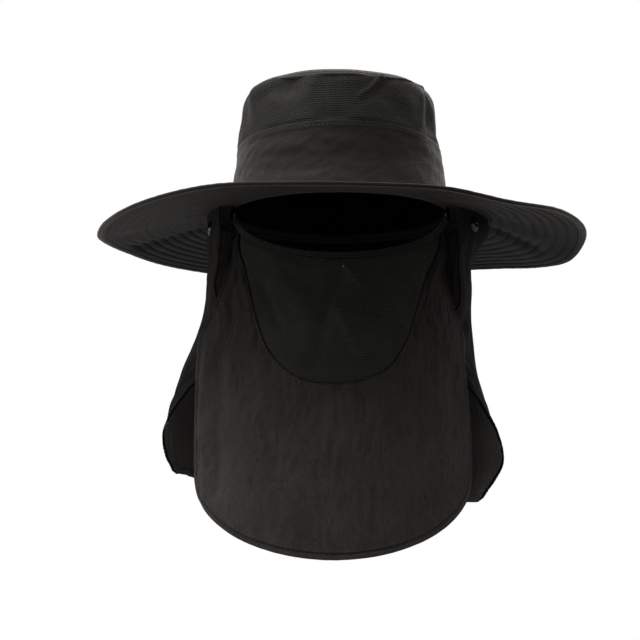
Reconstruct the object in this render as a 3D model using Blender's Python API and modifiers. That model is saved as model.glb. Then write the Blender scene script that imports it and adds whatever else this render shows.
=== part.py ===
"""A wide sun hat with a neck flap and a face cover.

Metres, +Z up. The wearer looks along -Y and the wearer's left is at +X.
The origin is the middle of the head opening, in the plane where the crown meets the brim.
An angle of 0 is the front, and angles grow towards +X.
"""

import bpy
import numpy as np
from mathutils import Vector

MM = 0.001
GAP = 0.3 * MM

# Walls
CLOTH = 1.2 * MM
HEM = 2.0 * MM
BRIM_THICKNESS = 2.0 * MM
BINDING_THICKNESS = 3.0 * MM

# Crown
HEAD_HALF_WIDTH = 85.5 * MM
HEAD_HALF_DEPTH = 103.0 * MM
CROWN_HEIGHT = 102.0 * MM
BAND_HEIGHT_FRONT = 54.0 * MM
BAND_HEIGHT_BACK = 47.0 * MM
TIP_SEAM_HEIGHT_FRONT = 91.0 * MM
TIP_SEAM_HEIGHT_SIDE = 96.0 * MM
DENT = 3.5 * MM
DENTS_END_WIDTH = 0.755
TIP_LAST_RING = 0.93

# Brim
BRIM_HALF_WIDTH = 192.5 * MM
BRIM_HALF_DEPTH = 209.0 * MM
BRIM_DROP = 20.0 * MM
BRIM_BINDING_WIDTH = 5.0 * MM

# Neck flap. The shares from edge to back run from 0 at a front edge to 1 at the middle of the back.
NECK_LENGTH = 228.0 * MM
NECK_SHORT_SIDE = 21.0 * MM
NECK_SHORT_START = 0.25
NECK_SHORT_END = 0.80
NECK_LEVEL = 150.0 * MM
NECK_LEVEL_SHARE = 0.66
NECK_RING = 0.175
NECK_EDGE_ANGLE = 70.0
NECK_CORNER = 34.0 * MM
NECK_FLARE_END = 0.36
NECK_BELLY_END = 0.36
NECK_FOLD = 2.5 * MM
NECK_FOLDS = 7
NECK_FOLD_START = 0.25
NECK_FOLD_GROWTH = 1.3

# Face cover
NOSE_DROP = 48.0 * MM
NOSE_RISE = 55.5 * MM
COVER_EDGE_ANGLE = 65.0
COVER_HALF_WIDTH = HEAD_HALF_WIDTH + 14.5 * MM
COVER_DEPTH = HEAD_HALF_DEPTH + 9.0 * MM
COVER_CORNER_DROP = 212.0 * MM
COVER_ROUNDING = 61.0 * MM
NOSE_BINDING_WIDTH = 5.5 * MM
NOSE_BINDING_THICKNESS = 2.8 * MM
NOSE_GAP = 2 * GAP
EAR_RISE = 5.5 * MM
EAR_POWER = 10
INSERT_DROP = 146.0 * MM

# Press studs. The side studs lie between the neck flap and the face cover's edges, where the
# curved cloth leaves the flat caps a little room. A neck stud's place is an angle and a share.
STUD_RADIUS = 5.5 * MM
STUD_THICKNESS = 2.2 * MM
STUD_BEVEL = 0.8 * MM
SIDE_STUD_INSET = 3.0 * MM
SIDE_STUD_DROP = 106.5 * MM
SIDE_STUD_SAG = 0.6 * MM
COVER_STUD_INSET = 0.8 * MM
NECK_STUD_RIGHT = (-81.0, 0.055)
NECK_STUD_LEFT = (79.0, 0.045)
NECK_STUD_LIFT_RIGHT = CLOTH / 2 + GAP
NECK_STUD_LIFT_LEFT = CLOTH / 2

# Where the neck flap's front edges are laid behind the face cover
JOINED_REACH = 15.0 * MM
JOINED_DEPTH = HEM + STUD_THICKNESS + SIDE_STUD_SAG + 2 * GAP
JOINED_PULL = 1.35
COVER_CLEARANCE = HEM + 3 * GAP
COVER_EDGE_REACH = 6.0 * MM

# Divisions
ROUND = 66
BAND_ROWS = (0, 0.35, 0.7, 0.95, 1)
MESH_ROWS = (0, 0.06, 0.5, 0.94, 1)
TIP_ROWS = (0, 0.04, 0.2, 0.5, 1)
BRIM_ROWS = 5
NECK_COLUMNS = 44
NECK_ROWS = (0, 0.08, 0.155, 0.26, 0.36, 0.42, 0.465, 0.51, 0.57, 0.66, 0.77, 0.88, 0.96, 1)
EDGE_CROWDING = 0.86
HEM_ROWS = 2
COVER_COLUMNS = 46
COVER_ROWS = 5
COVER_HEM_START = 0.9
STUD_CROWDING = 1.5
INSERT_ROWS = 4
NOSE_COLUMNS = 33
STUD_SIDES = 20


def table(columns, rows):
    """A table with named columns: each name gives that column as an array."""
    return dict(zip(columns.split(), np.array(rows, float).T))


# Heights are shares of the crown height, the others shares of the head opening's half sizes.
CROWN_SECTIONS = table(
    "height half_width half_depth",
    [
        (0.000, 1.000, 1.000),
        (0.120, 0.992, 0.990),
        (0.260, 0.977, 0.972),
        (0.455, 0.944, 0.938),
        (0.640, 0.918, 0.895),
        (0.780, 0.893, 0.852),
        (0.865, 0.866, 0.822),
        (0.915, 0.832, 0.785),
        (0.957, 0.755, 0.710),
        (0.987, 0.570, 0.540),
        (0.998, 0.300, 0.285),
        (1.000, 0.000, 0.000),
    ],
)

# Heights are shares of the crown height, depths shares of the dent size, and a bulge is
# negative. A spread is how far from its middle a dent has nearly gone.
CROWN_DENTS = table(
    "angle height angle_spread height_spread depth",
    [
        (-38, 0.83, 10, 0.07, 0.90),
        (-54, 0.88, 12, 0.11, -0.80),
        (22, 0.84, 8, 0.09, 0.60),
        (10, 0.88, 7, 0.07, -0.30),
        (48, 0.30, 16, 0.10, 0.30),
        (66, 0.52, 9, 0.22, 0.35),
        (84, 0.62, 8, 0.16, 0.45),
        (-80, 0.40, 14, 0.25, 0.25),
        (150, 0.60, 20, 0.20, 0.40),
        (-140, 0.45, 22, 0.25, 0.35),
    ],
)

# The rim's drop below the crown's foot, in shares of the brim drop, and its distance from
# the middle, in shares of the brim's half sizes.
BRIM_RIM = table(
    "angle drop reach",
    [
        (-160, 1.12, 1.000),
        (-144, 1.16, 1.000),
        (-128, 1.08, 0.998),
        (-112, 0.95, 0.990),
        (-96, 0.95, 0.990),
        (-80, 1.08, 0.990),
        (-66, 1.00, 0.997),
        (-50, 0.80, 1.000),
        (-28, 0.60, 1.000),
        (-10, 0.70, 1.000),
        (8, 0.76, 1.000),
        (22, 0.77, 1.000),
        (38, 0.98, 1.002),
        (58, 0.88, 1.008),
        (74, 1.02, 1.014),
        (90, 1.26, 1.010),
        (104, 1.52, 1.014),
        (118, 1.40, 1.010),
        (134, 1.12, 1.004),
        (150, 0.98, 1.000),
        (170, 1.06, 1.000),
    ],
)

# Drops are shares of the neck flap's length. Right and left are its half widths on the
# wearer's right and left and depth its reach behind, in shares of those at the top. A flare
# moves a front edge outward, and the belly the cloth behind the left one, in shares of the half
# width at the top. A wrap is how many degrees further forward a front edge reaches.
NECK_SECTIONS = table(
    "drop right left depth right_flare left_flare right_wrap left_wrap belly",
    [
        (0.00, 0.995, 1.010, 1.000, 0.00, 0.000, 8.0, 10.0, 0.120),
        (0.10, 0.990, 1.005, 1.010, 0.00, 0.000, 8.0, 10.0, 0.105),
        (0.15, 0.987, 1.002, 1.018, 0.00, 0.000, 7.5, 10.0, 0.030),
        (0.20, 0.985, 1.000, 1.025, 0.00, 0.000, 6.0, 9.5, 0.000),
        (0.27, 0.992, 1.003, 1.034, -0.01, -0.015, 1.5, 7.0, 0.000),
        (0.34, 1.015, 1.010, 1.045, -0.04, -0.060, 0.0, 0.5, 0.000),
        (0.40, 1.065, 1.032, 1.055, -0.10, -0.130, 0.0, 0.0, 0.000),
        (0.46, 1.125, 1.045, 1.065, -0.14, -0.140, 0.0, 0.0, 0.000),
        (0.56, 1.220, 1.067, 1.080, -0.16, -0.120, 0.0, 0.0, 0.000),
        (0.68, 1.245, 1.115, 1.095, 0.01, -0.020, 0.0, 0.0, 0.000),
        (0.78, 1.215, 1.125, 1.105, 0.14, 0.090, 0.0, 0.0, 0.000),
        (0.88, 1.185, 1.145, 1.110, 0.13, 0.105, 0.0, 0.0, 0.000),
        (1.00, 1.110, 1.060, 1.110, 0.00, 0.000, 0.0, 0.0, 0.000),
    ],
)

# Drops are shares of the face cover's corner drop, right and left shares of its half width
# on the wearer's right and left, depths shares of its depth.
COVER_SIDES = table(
    "drop right left depth",
    [
        (0.01, 0.800, 0.820, 0.935),
        (0.16, 0.835, 0.830, 0.950),
        (0.32, 0.905, 0.840, 0.985),
        (0.42, 0.985, 0.890, 1.030),
        (0.50, 1.065, 0.945, 1.060),
        (0.58, 1.080, 0.945, 1.070),
        (0.72, 1.090, 0.960, 1.070),
        (0.86, 1.095, 0.990, 1.070),
        (1.00, 1.090, 0.990, 1.070),
        (1.30, 1.090, 0.990, 1.070),
    ],
)

# The mesh insert's outline from one upper corner down and round to the other.
# Across is a share of the cover's half width, drop a share of the insert's drop.
INSERT_OUTLINE = table(
    "across drop",
    [
        (-0.755, 0.150),
        (-0.765, 0.240),
        (-0.706, 0.374),
        (-0.649, 0.548),
        (-0.593, 0.699),
        (-0.516, 0.828),
        (-0.394, 0.927),
        (-0.246, 0.985),
        (-0.085, 1.000),
        (0.090, 0.996),
        (0.223, 0.968),
        (0.358, 0.908),
        (0.450, 0.812),
        (0.530, 0.673),
        (0.578, 0.545),
        (0.642, 0.415),
        (0.730, 0.280),
        (0.775, 0.150),
    ],
)


def eased(at, xs, ys):
    """A smooth curve through the points (xs, ys), read at the places in at."""
    at = np.clip(at, xs[0], xs[-1])
    slopes = np.gradient(ys, xs)
    i = np.clip(np.searchsorted(xs, at) - 1, 0, len(xs) - 2)
    width = xs[i + 1] - xs[i]
    t = (at - xs[i]) / width
    start = (1 + 2 * t) * (1 - t) ** 2 * ys[i] + t * (1 - t) ** 2 * width * slopes[i]
    end = t**2 * (3 - 2 * t) * ys[i + 1] - t**2 * (1 - t) * width * slopes[i + 1]
    return start + end


def smooth_step(t):
    """A rise from 0 to 1 as t goes from 0 to 1, level at both ends."""
    t = np.clip(t, 0, 1)
    return t**2 * (3 - 2 * t)


def turned(degrees):
    """An angle brought into -180 to 180 degrees."""
    return (np.asarray(degrees, float) + 180) % 360 - 180


def unit(vectors):
    """Vectors brought to length 1."""
    return vectors / np.linalg.norm(vectors, axis=-1, keepdims=True)


def ring(angle, half_width, half_depth, height):
    """Points of an ellipse at a height; the arrays are taken together."""
    a = np.radians(angle)
    x, y, z = np.broadcast_arrays(
        half_width * np.sin(a), -half_depth * np.cos(a), height
    )
    return np.stack([x, y, z], axis=-1)


def path_shares(*columns):
    """How far along the line through a table's rows each row lies, from 0 to 1."""
    steps = np.sqrt(sum(np.diff(c) ** 2 for c in columns))
    along = np.concatenate([[0], np.cumsum(steps)])
    return along / along[-1]


CROWN_ALONG = path_shares(
    CROWN_SECTIONS["height"] * CROWN_HEIGHT,
    CROWN_SECTIONS["half_depth"] * HEAD_HALF_DEPTH,
)


def crown_point(angle, along):
    """The crown's middle surface; along runs from 0 at the foot to 1 at the top."""
    height = eased(along, CROWN_ALONG, CROWN_SECTIONS["height"])
    wide = eased(along, CROWN_ALONG, CROWN_SECTIONS["half_width"])
    deep = eased(along, CROWN_ALONG, CROWN_SECTIONS["half_depth"])
    inward = np.zeros(np.broadcast(angle, along).shape)
    for a, h, da, dh, depth in zip(*CROWN_DENTS.values()):
        away = (turned(angle - a) / da) ** 2 + ((height - h) / dh) ** 2
        inward = inward + DENT * depth * np.exp(-away)
    inward = inward * np.clip(wide / DENTS_END_WIDTH, 0, 1)
    return ring(
        angle,
        wide * HEAD_HALF_WIDTH - inward,
        deep * HEAD_HALF_DEPTH - inward,
        height * CROWN_HEIGHT,
    )


def along_at(height):
    """How far along the crown's outline a height lies."""
    fine = np.linspace(0, 1, 400)
    heights = eased(fine, CROWN_ALONG, CROWN_SECTIONS["height"]) * CROWN_HEIGHT
    return np.interp(height, heights, fine)


def band_top(angle):
    """The height of the seam between the band and the mesh, highest in front."""
    front = ((1 + np.cos(np.radians(angle))) / 2) ** 2
    return BAND_HEIGHT_BACK + (BAND_HEIGHT_FRONT - BAND_HEIGHT_BACK) * front


def tip_seam(angle):
    """The height of the seam between the mesh and the tip, highest at the sides."""
    side = np.sin(np.radians(angle)) ** 2
    return TIP_SEAM_HEIGHT_FRONT + (TIP_SEAM_HEIGHT_SIDE - TIP_SEAM_HEIGHT_FRONT) * side


def rim_value(angle, name):
    """A column of the rim's table at an angle, smooth all the way round."""
    angles = BRIM_RIM["angle"]
    values = BRIM_RIM[name]
    angles = np.concatenate([angles[-2:] - 360, angles, angles[:2] + 360])
    values = np.concatenate([values[-2:], values, values[:2]])
    return eased(turned(angle), angles, values)


def brim_point(angle, share):
    """The brim's middle surface; share runs from 0 at the crown to 1 at the rim."""
    inner = CLOTH / 2
    reach = rim_value(angle, "reach") * share
    wide = (HEAD_HALF_WIDTH - inner) * (1 - share) + BRIM_HALF_WIDTH * reach
    deep = (HEAD_HALF_DEPTH - inner) * (1 - share) + BRIM_HALF_DEPTH * reach
    height = -BRIM_THICKNESS / 2 - rim_value(angle, "drop") * BRIM_DROP * share
    return ring(angle, wide, deep, height)


def brim_underside(x, y):
    """The height of the brim's underside at a place near the crown."""
    angle = np.degrees(np.arctan2(x / HEAD_HALF_WIDTH, -y / HEAD_HALF_DEPTH))
    shares = np.linspace(0, 0.5, 101)
    points = brim_point(angle, shares)
    share = np.interp(np.hypot(x, y), np.hypot(points[:, 0], points[:, 1]), shares)
    return brim_point(angle, share)[2] - BRIM_THICKNESS / 2


def neck_point(angle, share):
    """The neck flap's middle surface; share runs from 0 at the brim to 1 at the hem."""
    side = np.sign(np.sin(np.radians(angle)))
    opening = np.abs(turned(angle)) - NECK_EDGE_ANGLE
    from_edge = np.clip(opening / (180 - NECK_EDGE_ANGLE), 0, 1)
    wide = HEAD_HALF_WIDTH + NECK_RING * (BRIM_HALF_WIDTH - HEAD_HALF_WIDTH)
    deep = HEAD_HALF_DEPTH + NECK_RING * (BRIM_HALF_DEPTH - HEAD_HALF_DEPTH)
    arc = from_edge * np.radians(180 - NECK_EDGE_ANGLE) * (wide + deep) / 2
    near_edge = np.clip(1 - from_edge / NECK_FLARE_END, 0, 1) ** 2
    belly = np.sin(np.pi * np.clip(from_edge / NECK_BELLY_END, 0, 1)) ** 2

    def flared(values):
        """How far outward a place is moved, in shares of the half width at the top."""
        left = values["left_flare"] * near_edge + values["belly"] * belly
        return np.where(side < 0, values["right_flare"] * near_edge, left)

    def bearing(values):
        """The way that a place is from the middle, in degrees."""
        wrap = np.where(side < 0, values["right_wrap"], values["left_wrap"])
        return angle - side * wrap * (1 - from_edge)

    first = {name: column[0] for name, column in NECK_SECTIONS.items()}
    under = NECK_RING + flared(first) * wide / (BRIM_HALF_WIDTH - HEAD_HALF_WIDTH)
    top = brim_point(bearing(first), under)[..., 2] - BRIM_THICKNESS / 2 - GAP - CLOTH / 4
    corner = NECK_CORNER * (1 - np.sqrt(1 - np.clip(1 - arc / NECK_CORNER, 0, 1) ** 2))
    shortened = 1 - smooth_step((from_edge - NECK_SHORT_START) / (NECK_SHORT_END - NECK_SHORT_START))
    bottom = -NECK_LENGTH + np.where(side < 0, NECK_SHORT_SIDE, 0) * shortened + corner
    upper = top + (-NECK_LEVEL - top) * share / NECK_LEVEL_SHARE
    lower = (share - NECK_LEVEL_SHARE) / (1 - NECK_LEVEL_SHARE)
    height = np.where(lower < 0, upper, -NECK_LEVEL + (bottom + NECK_LEVEL) * lower)

    drop = -height / NECK_LENGTH
    section = {name: eased(drop, NECK_SECTIONS["drop"], NECK_SECTIONS[name]) for name in NECK_SECTIONS}
    sideways = np.where(side < 0, section["right"], section["left"])
    fold = NECK_FOLD * np.clip(drop, 0, 1) ** NECK_FOLD_GROWTH
    fold = fold * np.clip(from_edge / NECK_FOLD_START, 0, 1)
    fold = fold * np.sin(np.radians(turned(angle)) * NECK_FOLDS)
    around = bearing(section)
    points = ring(around, wide * sideways + fold, deep * section["depth"] + fold, height)
    points[..., 0] += flared(section) * side * wide
    return kept_behind(joined(points, side, arc), side)


def joined(points, side, arc):
    """The neck flap's front edges laid behind the face cover's edges at the side studs."""
    height = points[..., 2]
    x = np.where(side < 0, -SIDE_STUD_RIGHT, SIDE_STUD_LEFT) + side * (arc - JOINED_REACH / 2) / 2
    front, outward = cover_and_normal(x, height)
    up_or_down = (height + SIDE_STUD_DROP) / JOINED_REACH
    near = np.exp(-(up_or_down**2) - (arc / (1.5 * JOINED_REACH)) ** 4)
    pull = smooth_step(JOINED_PULL * near)[..., None]
    return points * (1 - pull) + (front - outward * JOINED_DEPTH) * pull


def kept_behind(points, side):
    """The neck flap moved back wherever it would come too close behind the face cover."""
    x, height = points[..., 0], points[..., 2]
    front, outward = cover_and_normal(x, height)
    behind = np.sum((front - points) * outward, axis=-1)
    short = np.clip(COVER_CLEARANCE - behind, 0, None)
    past_edge = np.abs(x) - cover_half_width(side, height)
    covered = smooth_step(1 - past_edge / COVER_EDGE_REACH)
    return points - outward * (short * covered)[..., None]


def cover_half_width(side, z):
    """The face cover's half width at a height, on the wearer's right where side is negative."""
    drop = -z / COVER_CORNER_DROP
    right = eased(drop, COVER_SIDES["drop"], COVER_SIDES["right"])
    left = eased(drop, COVER_SIDES["drop"], COVER_SIDES["left"])
    return np.where(side < 0, right, left) * COVER_HALF_WIDTH


def cover_surface(x, z):
    """The face cover's middle surface at places in front view, with its depth worked out."""
    deep = eased(-z / COVER_CORNER_DROP, COVER_SIDES["drop"], COVER_SIDES["depth"]) * COVER_DEPTH
    sine = x / cover_half_width(x, z) * np.sin(np.radians(COVER_EDGE_ANGLE))
    y = -deep * np.sqrt(1 - np.clip(sine, -0.99, 0.99) ** 2)
    return np.stack(np.broadcast_arrays(x, y, z), axis=-1)


def cover_and_normal(x, z):
    """The face cover's middle surface and the way it faces, outward from the head."""
    here = cover_surface(x, z)
    across = cover_surface(x + MM, z) - here
    up = cover_surface(x, z + MM) - here
    return here, unit(np.cross(across, up))


def nose_edge(share):
    """The face cover's upper edge in front view; share runs from -1 to 1 across."""
    sine = share * np.sin(np.radians(COVER_EDGE_ANGLE))
    z = -NOSE_DROP + NOSE_RISE * (1 - np.sqrt(1 - sine**2)) + EAR_RISE * share**EAR_POWER
    return np.stack([share * cover_half_width(share, z), z], axis=-1)


def cover_outline(count):
    """The cover's outline in front view from one upper corner down and round to the other."""
    corner_right, corner_left = nose_edge(np.array([-1.0, 1.0]))
    corner_z = -COVER_CORNER_DROP

    def edge_down(top, side):
        z = np.linspace(top - NOSE_BINDING_WIDTH - NOSE_GAP, corner_z, 40)
        return np.stack([side * cover_half_width(side, z), z], axis=-1)

    down = edge_down(corner_right[1], -1)
    up = edge_down(corner_left[1], 1)[::-1]
    turn = np.linspace(-np.pi / 2, np.pi / 2, 60)[1:-1]
    middle = (down[-1, 0] + up[0, 0]) / 2
    half = (up[0, 0] - down[-1, 0]) / 2
    below = np.stack(
        [middle + half * np.sin(turn), corner_z - COVER_ROUNDING * np.cos(turn)], axis=-1
    )
    line = np.concatenate([down, below, up])
    along = path_shares(*line.T)
    beside = np.exp(-(((line[:, 1] + SIDE_STUD_DROP) / JOINED_REACH) ** 2))
    weights = 1 + STUD_CROWDING * (beside[1:] + beside[:-1]) / 2
    closeness = np.concatenate([[0], np.cumsum(np.diff(along) * weights)])
    return evenly(line, count, closeness / closeness[-1])


def evenly(line, count, along=None):
    """Points spaced evenly along a line, or evenly in the measure given for its points."""
    if along is None:
        along = path_shares(*line.T)
    at = np.linspace(0, 1, count)
    return np.stack([np.interp(at, along, c) for c in line.T], axis=-1)


def insert_outline(count):
    """The mesh insert's outline in front view, smoothed through its table."""
    x = INSERT_OUTLINE["across"] * COVER_HALF_WIDTH
    z = -INSERT_OUTLINE["drop"] * INSERT_DROP
    along = path_shares(x, z)
    fine = np.linspace(0, 1, 300)
    return evenly(np.stack([eased(fine, along, x), eased(fine, along, z)], axis=-1), count)


def shifted(line, distance):
    """A front-view line moved sideways, to the right of the way it runs."""
    way = np.gradient(line, axis=0)
    way /= np.linalg.norm(way, axis=1, keepdims=True)
    return line + distance * np.stack([way[:, 1], -way[:, 0]], axis=-1)


def below_nose(x):
    """The height at which the cover's cloth starts under the nose binding."""
    edge = nose_edge(np.linspace(-1, 1, 201))
    return np.interp(x, edge[:, 0], edge[:, 1]) - NOSE_BINDING_WIDTH - NOSE_GAP


SIDE_STUD_RIGHT = cover_half_width(-1, -SIDE_STUD_DROP) - SIDE_STUD_INSET
SIDE_STUD_LEFT = cover_half_width(1, -SIDE_STUD_DROP) - SIDE_STUD_INSET


def fresh_scene():
    """An empty scene with a collection for the hat."""
    for old in list(bpy.data.objects):
        bpy.data.objects.remove(old, do_unlink=True)
    hat = bpy.data.collections.new("flap_sun_hat")
    bpy.context.scene.collection.children.link(hat)
    return hat


def material(name, colour, roughness, metallic=0.0):
    """A plain material."""
    paint = bpy.data.materials.new(name)
    paint.use_nodes = True
    shader = paint.node_tree.nodes["Principled BSDF"]
    shader.inputs["Base Color"].default_value = (*colour, 1)
    shader.inputs["Roughness"].default_value = roughness
    shader.inputs["Metallic"].default_value = metallic
    return paint


def add_mesh(name, vertices, faces, paint):
    """A new object of the hat from points and faces."""
    mesh = bpy.data.meshes.new(name)
    mesh.from_pydata(np.reshape(vertices, (-1, 3)).tolist(), [], faces)
    mesh.update()
    body = bpy.data.objects.new(name, mesh)
    body.data.materials.append(paint)
    HAT.objects.link(body)
    return body


def grid_faces(rows, columns, closed):
    """Quads of a grid of points that is stored row by row."""
    across = columns if closed else columns - 1
    return [
        (
            r * columns + c,
            r * columns + (c + 1) % columns,
            (r + 1) * columns + (c + 1) % columns,
            (r + 1) * columns + c,
        )
        for r in range(rows - 1)
        for c in range(across)
    ]


def sheet(name, points, paint, thickness=CLOTH, closed=False, hem=None, apex=None):
    """A cloth piece: a surface given as a grid of points, thickened evenly to both sides."""
    rows, columns = points.shape[:2]
    faces = grid_faces(rows, columns, closed)
    vertices = points.reshape(-1, 3)
    if apex is not None:
        last = (rows - 1) * columns
        vertices = np.concatenate([vertices, [apex]])
        faces += [
            (last + c, last + (c + 1) % columns, rows * columns) for c in range(columns)
        ]
    body = add_mesh(name, vertices, faces, paint)
    wall = body.modifiers.new("wall", "SOLIDIFY")
    wall.thickness = thickness
    wall.offset = 0
    wall.use_even_offset = True
    if hem is not None:
        group = body.vertex_groups.new(name="hem")
        for i in np.flatnonzero(hem.reshape(-1)):
            group.add([int(i)], 1.0, "REPLACE")
        wall.vertex_group = "hem"
        wall.thickness = HEM
        wall.thickness_vertex_group = thickness / HEM
    return body


def strip(name, middle, outward, upward, profile, paint, closed):
    """A strip with one cross-section carried along a line; the profile is in outward and upward."""
    count = len(middle)
    sides = len(profile)
    across, up = profile.T
    points = (
        middle[:, None]
        + across[None, :, None] * outward[:, None]
        + up[None, :, None] * upward[:, None]
    )
    if closed:
        points = np.concatenate([points, points[:1]])
    faces = [
        (
            (r % count) * sides + c,
            (r % count) * sides + (c + 1) % sides,
            ((r + 1) % count) * sides + (c + 1) % sides,
            ((r + 1) % count) * sides + c,
        )
        for r in range(count if closed else count - 1)
        for c in range(sides)
    ]
    if not closed:
        last = (count - 1) * sides
        faces.append(tuple(range(sides))[::-1])
        faces.append(tuple(last + c for c in range(sides)))
    return add_mesh(name, points[:count], faces, paint)


def binding_profile(width, thickness):
    """A folded strip's cross-section from its open edge at 0 to its fold at the width.

    The open edge is a little thinner, and the fold is rounded by a narrow end face.
    """
    half = thickness / 2
    edge = 0.8 * half
    end = 0.5 * half
    fold = width - 0.15 * half
    return np.array(
        [(0, edge), (width - half, half), (fold, end), (fold, -end), (width - half, -half), (0, -edge)]
    )


def stud(name, place, facing, paint):
    """A press stud's round cap, with its back at a place and its face turned along facing."""
    bpy.ops.mesh.primitive_cylinder_add(
        vertices=STUD_SIDES, radius=STUD_RADIUS, depth=STUD_THICKNESS
    )
    cap = bpy.context.object
    cap.name = name
    cap.data.name = name
    for users in list(cap.users_collection):
        users.objects.unlink(cap)
    HAT.objects.link(cap)
    cap.data.materials.append(paint)
    facing = unit(np.array(facing, float))
    cap.rotation_mode = "QUATERNION"
    cap.rotation_quaternion = Vector(facing).to_track_quat("Z", "Y")
    cap.location = np.array(place) + facing * STUD_THICKNESS / 2
    rim = cap.modifiers.new("rim", "BEVEL")
    rim.width = STUD_BEVEL
    rim.segments = 1
    rim.limit_method = "ANGLE"
    return cap


def on_sheet(surface, place, steps, lift):
    """A place lifted off a surface, and the way the surface faces there."""
    first, second = place
    here = surface(np.array(first), np.array(second))
    along = surface(np.array(first + steps[0]), np.array(second)) - here
    down = surface(np.array(first), np.array(second + steps[1])) - here
    facing = unit(np.cross(along, down))
    return here + facing * lift, facing


HAT = fresh_scene()
CRINKLED = material("crinkled_nylon", (0.030, 0.029, 0.027), 0.75)
NET = material("air_mesh", (0.014, 0.014, 0.014), 0.85)
BOUND = material("binding_tape", (0.026, 0.025, 0.024), 0.7)
METAL = material("stud_metal", (0.09, 0.09, 0.09), 0.35, 0.9)

around = np.linspace(-180, 180, ROUND, endpoint=False)


def crown_rows(start, end, steps):
    """A grid round the crown between two lines given as shares along its outline."""
    steps = np.array(steps)[:, None]
    return crown_point(around[None, :], start + (end - start) * steps)


# Crown
foot = np.full(ROUND, along_at(GAP))
band_end = along_at(band_top(around) - GAP / 2)
net_start = along_at(band_top(around) + GAP / 2)
net_end = along_at(tip_seam(around) - GAP / 2)
tip_start = along_at(tip_seam(around) + GAP / 2)
tip_end = np.full(ROUND, TIP_LAST_RING)
sheet("crown_band", crown_rows(foot, band_end, BAND_ROWS), CRINKLED, closed=True)
sheet("crown_mesh", crown_rows(net_start, net_end, MESH_ROWS), NET, closed=True)
tip_grid = crown_rows(tip_start, tip_end, TIP_ROWS)
sheet("crown_tip", tip_grid, CRINKLED, closed=True, apex=(0, 0, CROWN_HEIGHT))

# Brim
binding_share = BRIM_BINDING_WIDTH / (BRIM_HALF_WIDTH - HEAD_HALF_WIDTH)
gap_share = GAP / (BRIM_HALF_WIDTH - HEAD_HALF_WIDTH)
rim_share = 1 - binding_share - gap_share
brim_grid = brim_point(around[None, :], np.linspace(0, rim_share, BRIM_ROWS)[:, None])
sheet("brim", brim_grid, CRINKLED, thickness=BRIM_THICKNESS, closed=True)
open_edge = brim_point(around, rim_share + gap_share)
outward = unit(brim_point(around, 1.0) - brim_point(around, rim_share))
along_rim = unit(np.roll(open_edge, -1, axis=0) - np.roll(open_edge, 1, axis=0))
upward = unit(np.cross(outward, along_rim))
profile = binding_profile(BRIM_BINDING_WIDTH, BINDING_THICKNESS)
strip("brim_binding", open_edge, outward, upward, profile, BOUND, True)

# Neck flap
spread = np.sin(np.linspace(-1, 1, NECK_COLUMNS) * np.pi / 2 * EDGE_CROWDING)
neck_angles = 180 + spread / spread[-1] * (180 - NECK_EDGE_ANGLE)
neck_grid = neck_point(neck_angles[None, :], np.array(NECK_ROWS)[:, None])
hemmed = np.zeros(neck_grid.shape[:2], bool)
hemmed[-HEM_ROWS:, :] = True
hemmed[:, :HEM_ROWS] = True
hemmed[:, -HEM_ROWS:] = True
sheet("neck_flap", neck_grid, CRINKLED, hem=hemmed)

# Face cover
outline = cover_outline(COVER_COLUMNS)
cut = shifted(insert_outline(COVER_COLUMNS), GAP / 2)
cut[0, 1] = below_nose(cut[0, 0])
cut[-1, 1] = below_nose(cut[-1, 0])
blend = np.concatenate([np.linspace(0, COVER_HEM_START, COVER_ROWS), [1.0]])[:, None, None]
flat = cut[None] * (1 - blend) + outline[None] * blend
hemmed = np.zeros(flat.shape[:2], bool)
hemmed[-HEM_ROWS:, :] = True
sheet("face_panel", cover_surface(flat[..., 0], flat[..., 1]), CRINKLED, hem=hemmed)

edge = shifted(insert_outline(COVER_COLUMNS), -GAP / 2)[1:-1]
level_x = np.linspace(cut[0, 0] + GAP, cut[-1, 0] - GAP, len(edge))
level = np.stack([level_x, below_nose(level_x)], axis=-1)
blend = np.linspace(0, 1, INSERT_ROWS + 1)[:, None, None]
flat = level[None] * (1 - blend) + edge[None] * blend
sheet("face_mesh", cover_surface(flat[..., 0], flat[..., 1]), NET)

nose = nose_edge(np.sin(np.linspace(-1, 1, NOSE_COLUMNS) * np.pi / 2))
low = cover_surface(nose[:, 0], nose[:, 1] - NOSE_BINDING_WIDTH)
high = cover_surface(nose[:, 0], nose[:, 1])
outward = unit(high - low)
upward = unit(np.cross(outward, unit(np.gradient(low, axis=0))))
profile = binding_profile(NOSE_BINDING_WIDTH, NOSE_BINDING_THICKNESS)
strip("nose_binding", low, outward, upward, profile, BOUND, False)

# Press studs
NECK_STEPS = (-0.5, 0.005)
COVER_STEPS = (0.5 * MM, 0.5 * MM)
for name, place, lift in (
    ("neck_stud_right", NECK_STUD_RIGHT, NECK_STUD_LIFT_RIGHT),
    ("neck_stud_left", NECK_STUD_LEFT, NECK_STUD_LIFT_LEFT),
):
    back, facing = on_sheet(neck_point, place, NECK_STEPS, lift)
    stud(name, back, facing, METAL)
for name, side in (("cover_stud_right", -1), ("cover_stud_left", 1)):
    corner = nose_edge(float(side))
    x = corner[0] - side * COVER_STUD_INSET
    lift = NOSE_BINDING_THICKNESS / 2 + GAP
    back, facing = on_sheet(cover_surface, (x, corner[1]), COVER_STEPS, lift)
    face = back + facing * STUD_THICKNESS
    z = brim_underside(face[0], face[1]) - GAP - STUD_RADIUS
    back, facing = on_sheet(cover_surface, (x, z), COVER_STEPS, lift)
    stud(name, back, facing, METAL)
SIDE_STUD_LIFT = -(HEM / 2 + GAP + SIDE_STUD_SAG + STUD_THICKNESS)
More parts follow.
